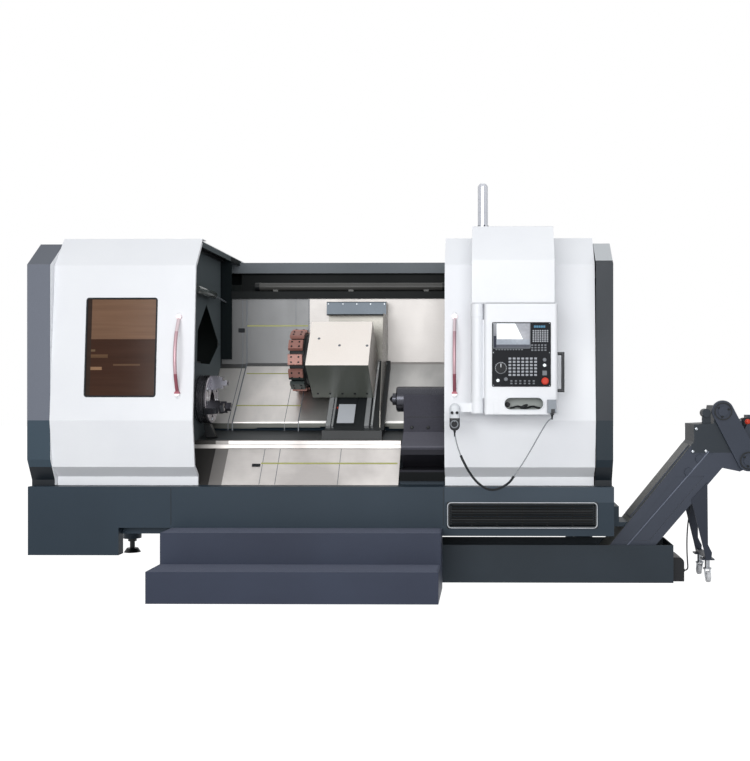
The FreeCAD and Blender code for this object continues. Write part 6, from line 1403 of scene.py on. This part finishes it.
conveyorDetail = {
    "front": 230.0,                      # Y of the conveyor's own side
    "foldFrom": (4158.0, 160.0),         # X and Z of the pressed fold along the incline
    "foldTo": (4838.0, 944.0),
    "foldRadius": 5.0,
    # the fold is painted lighter than the side: a painted highlight along it
    "foldHighlightLook": dict(paints["slate"], colour="6d7383", second="5c6271"),
    "clamp": ((-34, 0), (34, 0), (26, 30), (0, 42), (-26, 30)),  # along the fold and away from it
    "clampsAt": ((0.80, 6.0), (0.92, 8.0)),  # share of the fold's length, and how far from it
    "clampY": (-9.0, 1.0),               # against the conveyor's side
    "plateBolts": ((4748.0, 1108.0), (4722.0, 945.0), (4816.0, 948.0)),
    "boltRadius": 12.0,
    "proud": 0.3,                        # how far bolts and screws stand before their face
    "seam": ((4722.0, -2.2, 928.0), (4870.0, 0.5, 936.0)),  # its corners, Y against the conveyor's side
    "guardCircles": ((4933.0, 1236.0), (5117.0, 881.0)),
    "guardFront": 194.0,
    "guardRing": (40.0, 3, "y", 20.0),   # the screws' radius, count, axis and first angle
    "guardScrew": 8.0,
    "guardRim": ((56, 0.5), (56, -1.2), (60, -1.8), (64, -1.2), (64, 0.5)),
    "motor": (5190.0, 1085.0),
    "motorRadius": 78.0,
    "fin": ((-8, -2), (-1, -2), (-1, 2), (-8, 2)),  # radius past the motor's, and height along its axis
    "finsY": (360.0, 520.0, 9),
    "boxLow": (5104.0, 1128.0),
    "boxHigh": (5168.0, 1186.0),
    "boxCorner": 8.0,
    "boxY": (306.0, 372.0),
    "knob": ((0, 24), (10, 24), (15, 21), (17, 15), (15, 10), (7, 8), (7, 2), (20, 1), (20, -1), (0, -1)),
    "knobAt": (5136.0, 306.0, 1158.0),
}


def addConveyorDetail(values):
    start, end = np.array(values["foldFrom"]), np.array(values["foldTo"])
    side = values["front"]
    # the fold's lighter paint is a painted highlight
    foldHighlight = makeLook("foldHighlightSlate", values["foldHighlightLook"])
    fold = standing(np.linspace(start, end, 8), side)
    makePiece("conveyor_fold", [alongPath(fold, values["foldRadius"], 8, flat=0.6)], foldHighlight, "machine",
              creased=60)
    # gussets and clamps near the top of the incline
    ahead = (end - start) / np.linalg.norm(end - start)
    aside = np.array([-ahead[1], ahead[0]])
    clamp = np.array(values["clamp"])
    low, high = values["clampY"]
    shapes = []
    for share, away in values["clampsAt"]:
        middle = start + (end - start) * share + aside * away
        shapes.append(prism(middle + clamp[:, :1] * ahead + clamp[:, 1:] * aside, side + low, side + high, "y"))
    makePiece("conveyor_clamps", shapes, slatePaint, "machine", bevel=1.5)
    bolts = [(x, side - values["proud"], z) for x, z in values["plateBolts"]]
    makePiece("conveyor_plate_bolts", [copies(screwHead(values["boltRadius"]), bolts)], screwSteel, "machine")
    makePiece("conveyor_plate_seam", [slab(*(np.array(values["seam"]) + [0, side, 0]))], slatePaint, "machine",
              bevel=0.8)
    screws = []
    for x, z in values["guardCircles"]:
        ring = ringPlaces((x, values["guardFront"] - values["proud"], z), *values["guardRing"])
        screws.append(copies(screwHead(values["guardScrew"]), ring))
        screws.append(turned(values["guardRim"], (x, values["guardFront"], z), (0, 1, 0), 48))
    makePiece("chain_guard_screws", screws, blackSteel, "machine")
    # cooling fins round the gear motor, and its terminal box with a stop button
    x, z = values["motor"]
    fin = np.array(values["fin"]) + [values["motorRadius"], 0]
    makePiece("motor_fins", [turned(fin, (x, y, z), (0, 1, 0), 40) for y in np.linspace(*values["finsY"])],
              slatePaint, "machine")
    box = prism(roundedLoop(values["boxLow"], values["boxHigh"], values["boxCorner"], 4), *values["boxY"], "y")
    makePiece("motor_terminal_box", [box], blackPlastic, "machine", bevel=2.0)
    makePiece("motor_stop_button", [turned(values["knob"], values["knobAt"], (0, -1, 0), 24)], redPlastic, "machine")


addConveyorDetail(conveyorDetail)

stepDetail = {
    "across": (1030.0, 2911.0),          # X of the tread pattern
    "treads": ((-534.0, -270.0, 208.0), (-244.0, -14.0, 420.0)),  # front, back and height of each tread
    "ribPitch": 26.0,
    "rib": (9.0, 1.8),                   # width and height
    "ribSlope": 2.5,                     # how far each side leans in at the top
    "ribSunk": 0.5,
    "bolts": ((1017.6,), (-480.0, -320.0), (50.0, 160.0)),
    "boltRadius": 9.0,
}


def addSteps(values):
    # anti-slip ribs rolled into each tread, a bar with sloped sides repeated from front to back
    wide, high = values["rib"]
    half, top, sunk = wide / 2, wide / 2 - values["ribSlope"], values["ribSunk"]
    bar = prism([(-half, -sunk), (half, -sunk), (top, high), (-top, high)], *values["across"])
    places = [(0, y, z) for front, back, z in values["treads"] for y in np.arange(front, back, values["ribPitch"])]
    makePiece("tread_ribs", [copies(bar, places)], nodes["operator_steps"].data.materials[0], "machine")
    # bolts that hold the two steps to the base
    bolts = copies(screwHead(values["boltRadius"], (-1, 0, 0)), lattice(*values["bolts"]))
    makePiece("step_bolts", [bolts], screwSteel, "machine")


addSteps(stepDetail)
print("conveyor and steps done")
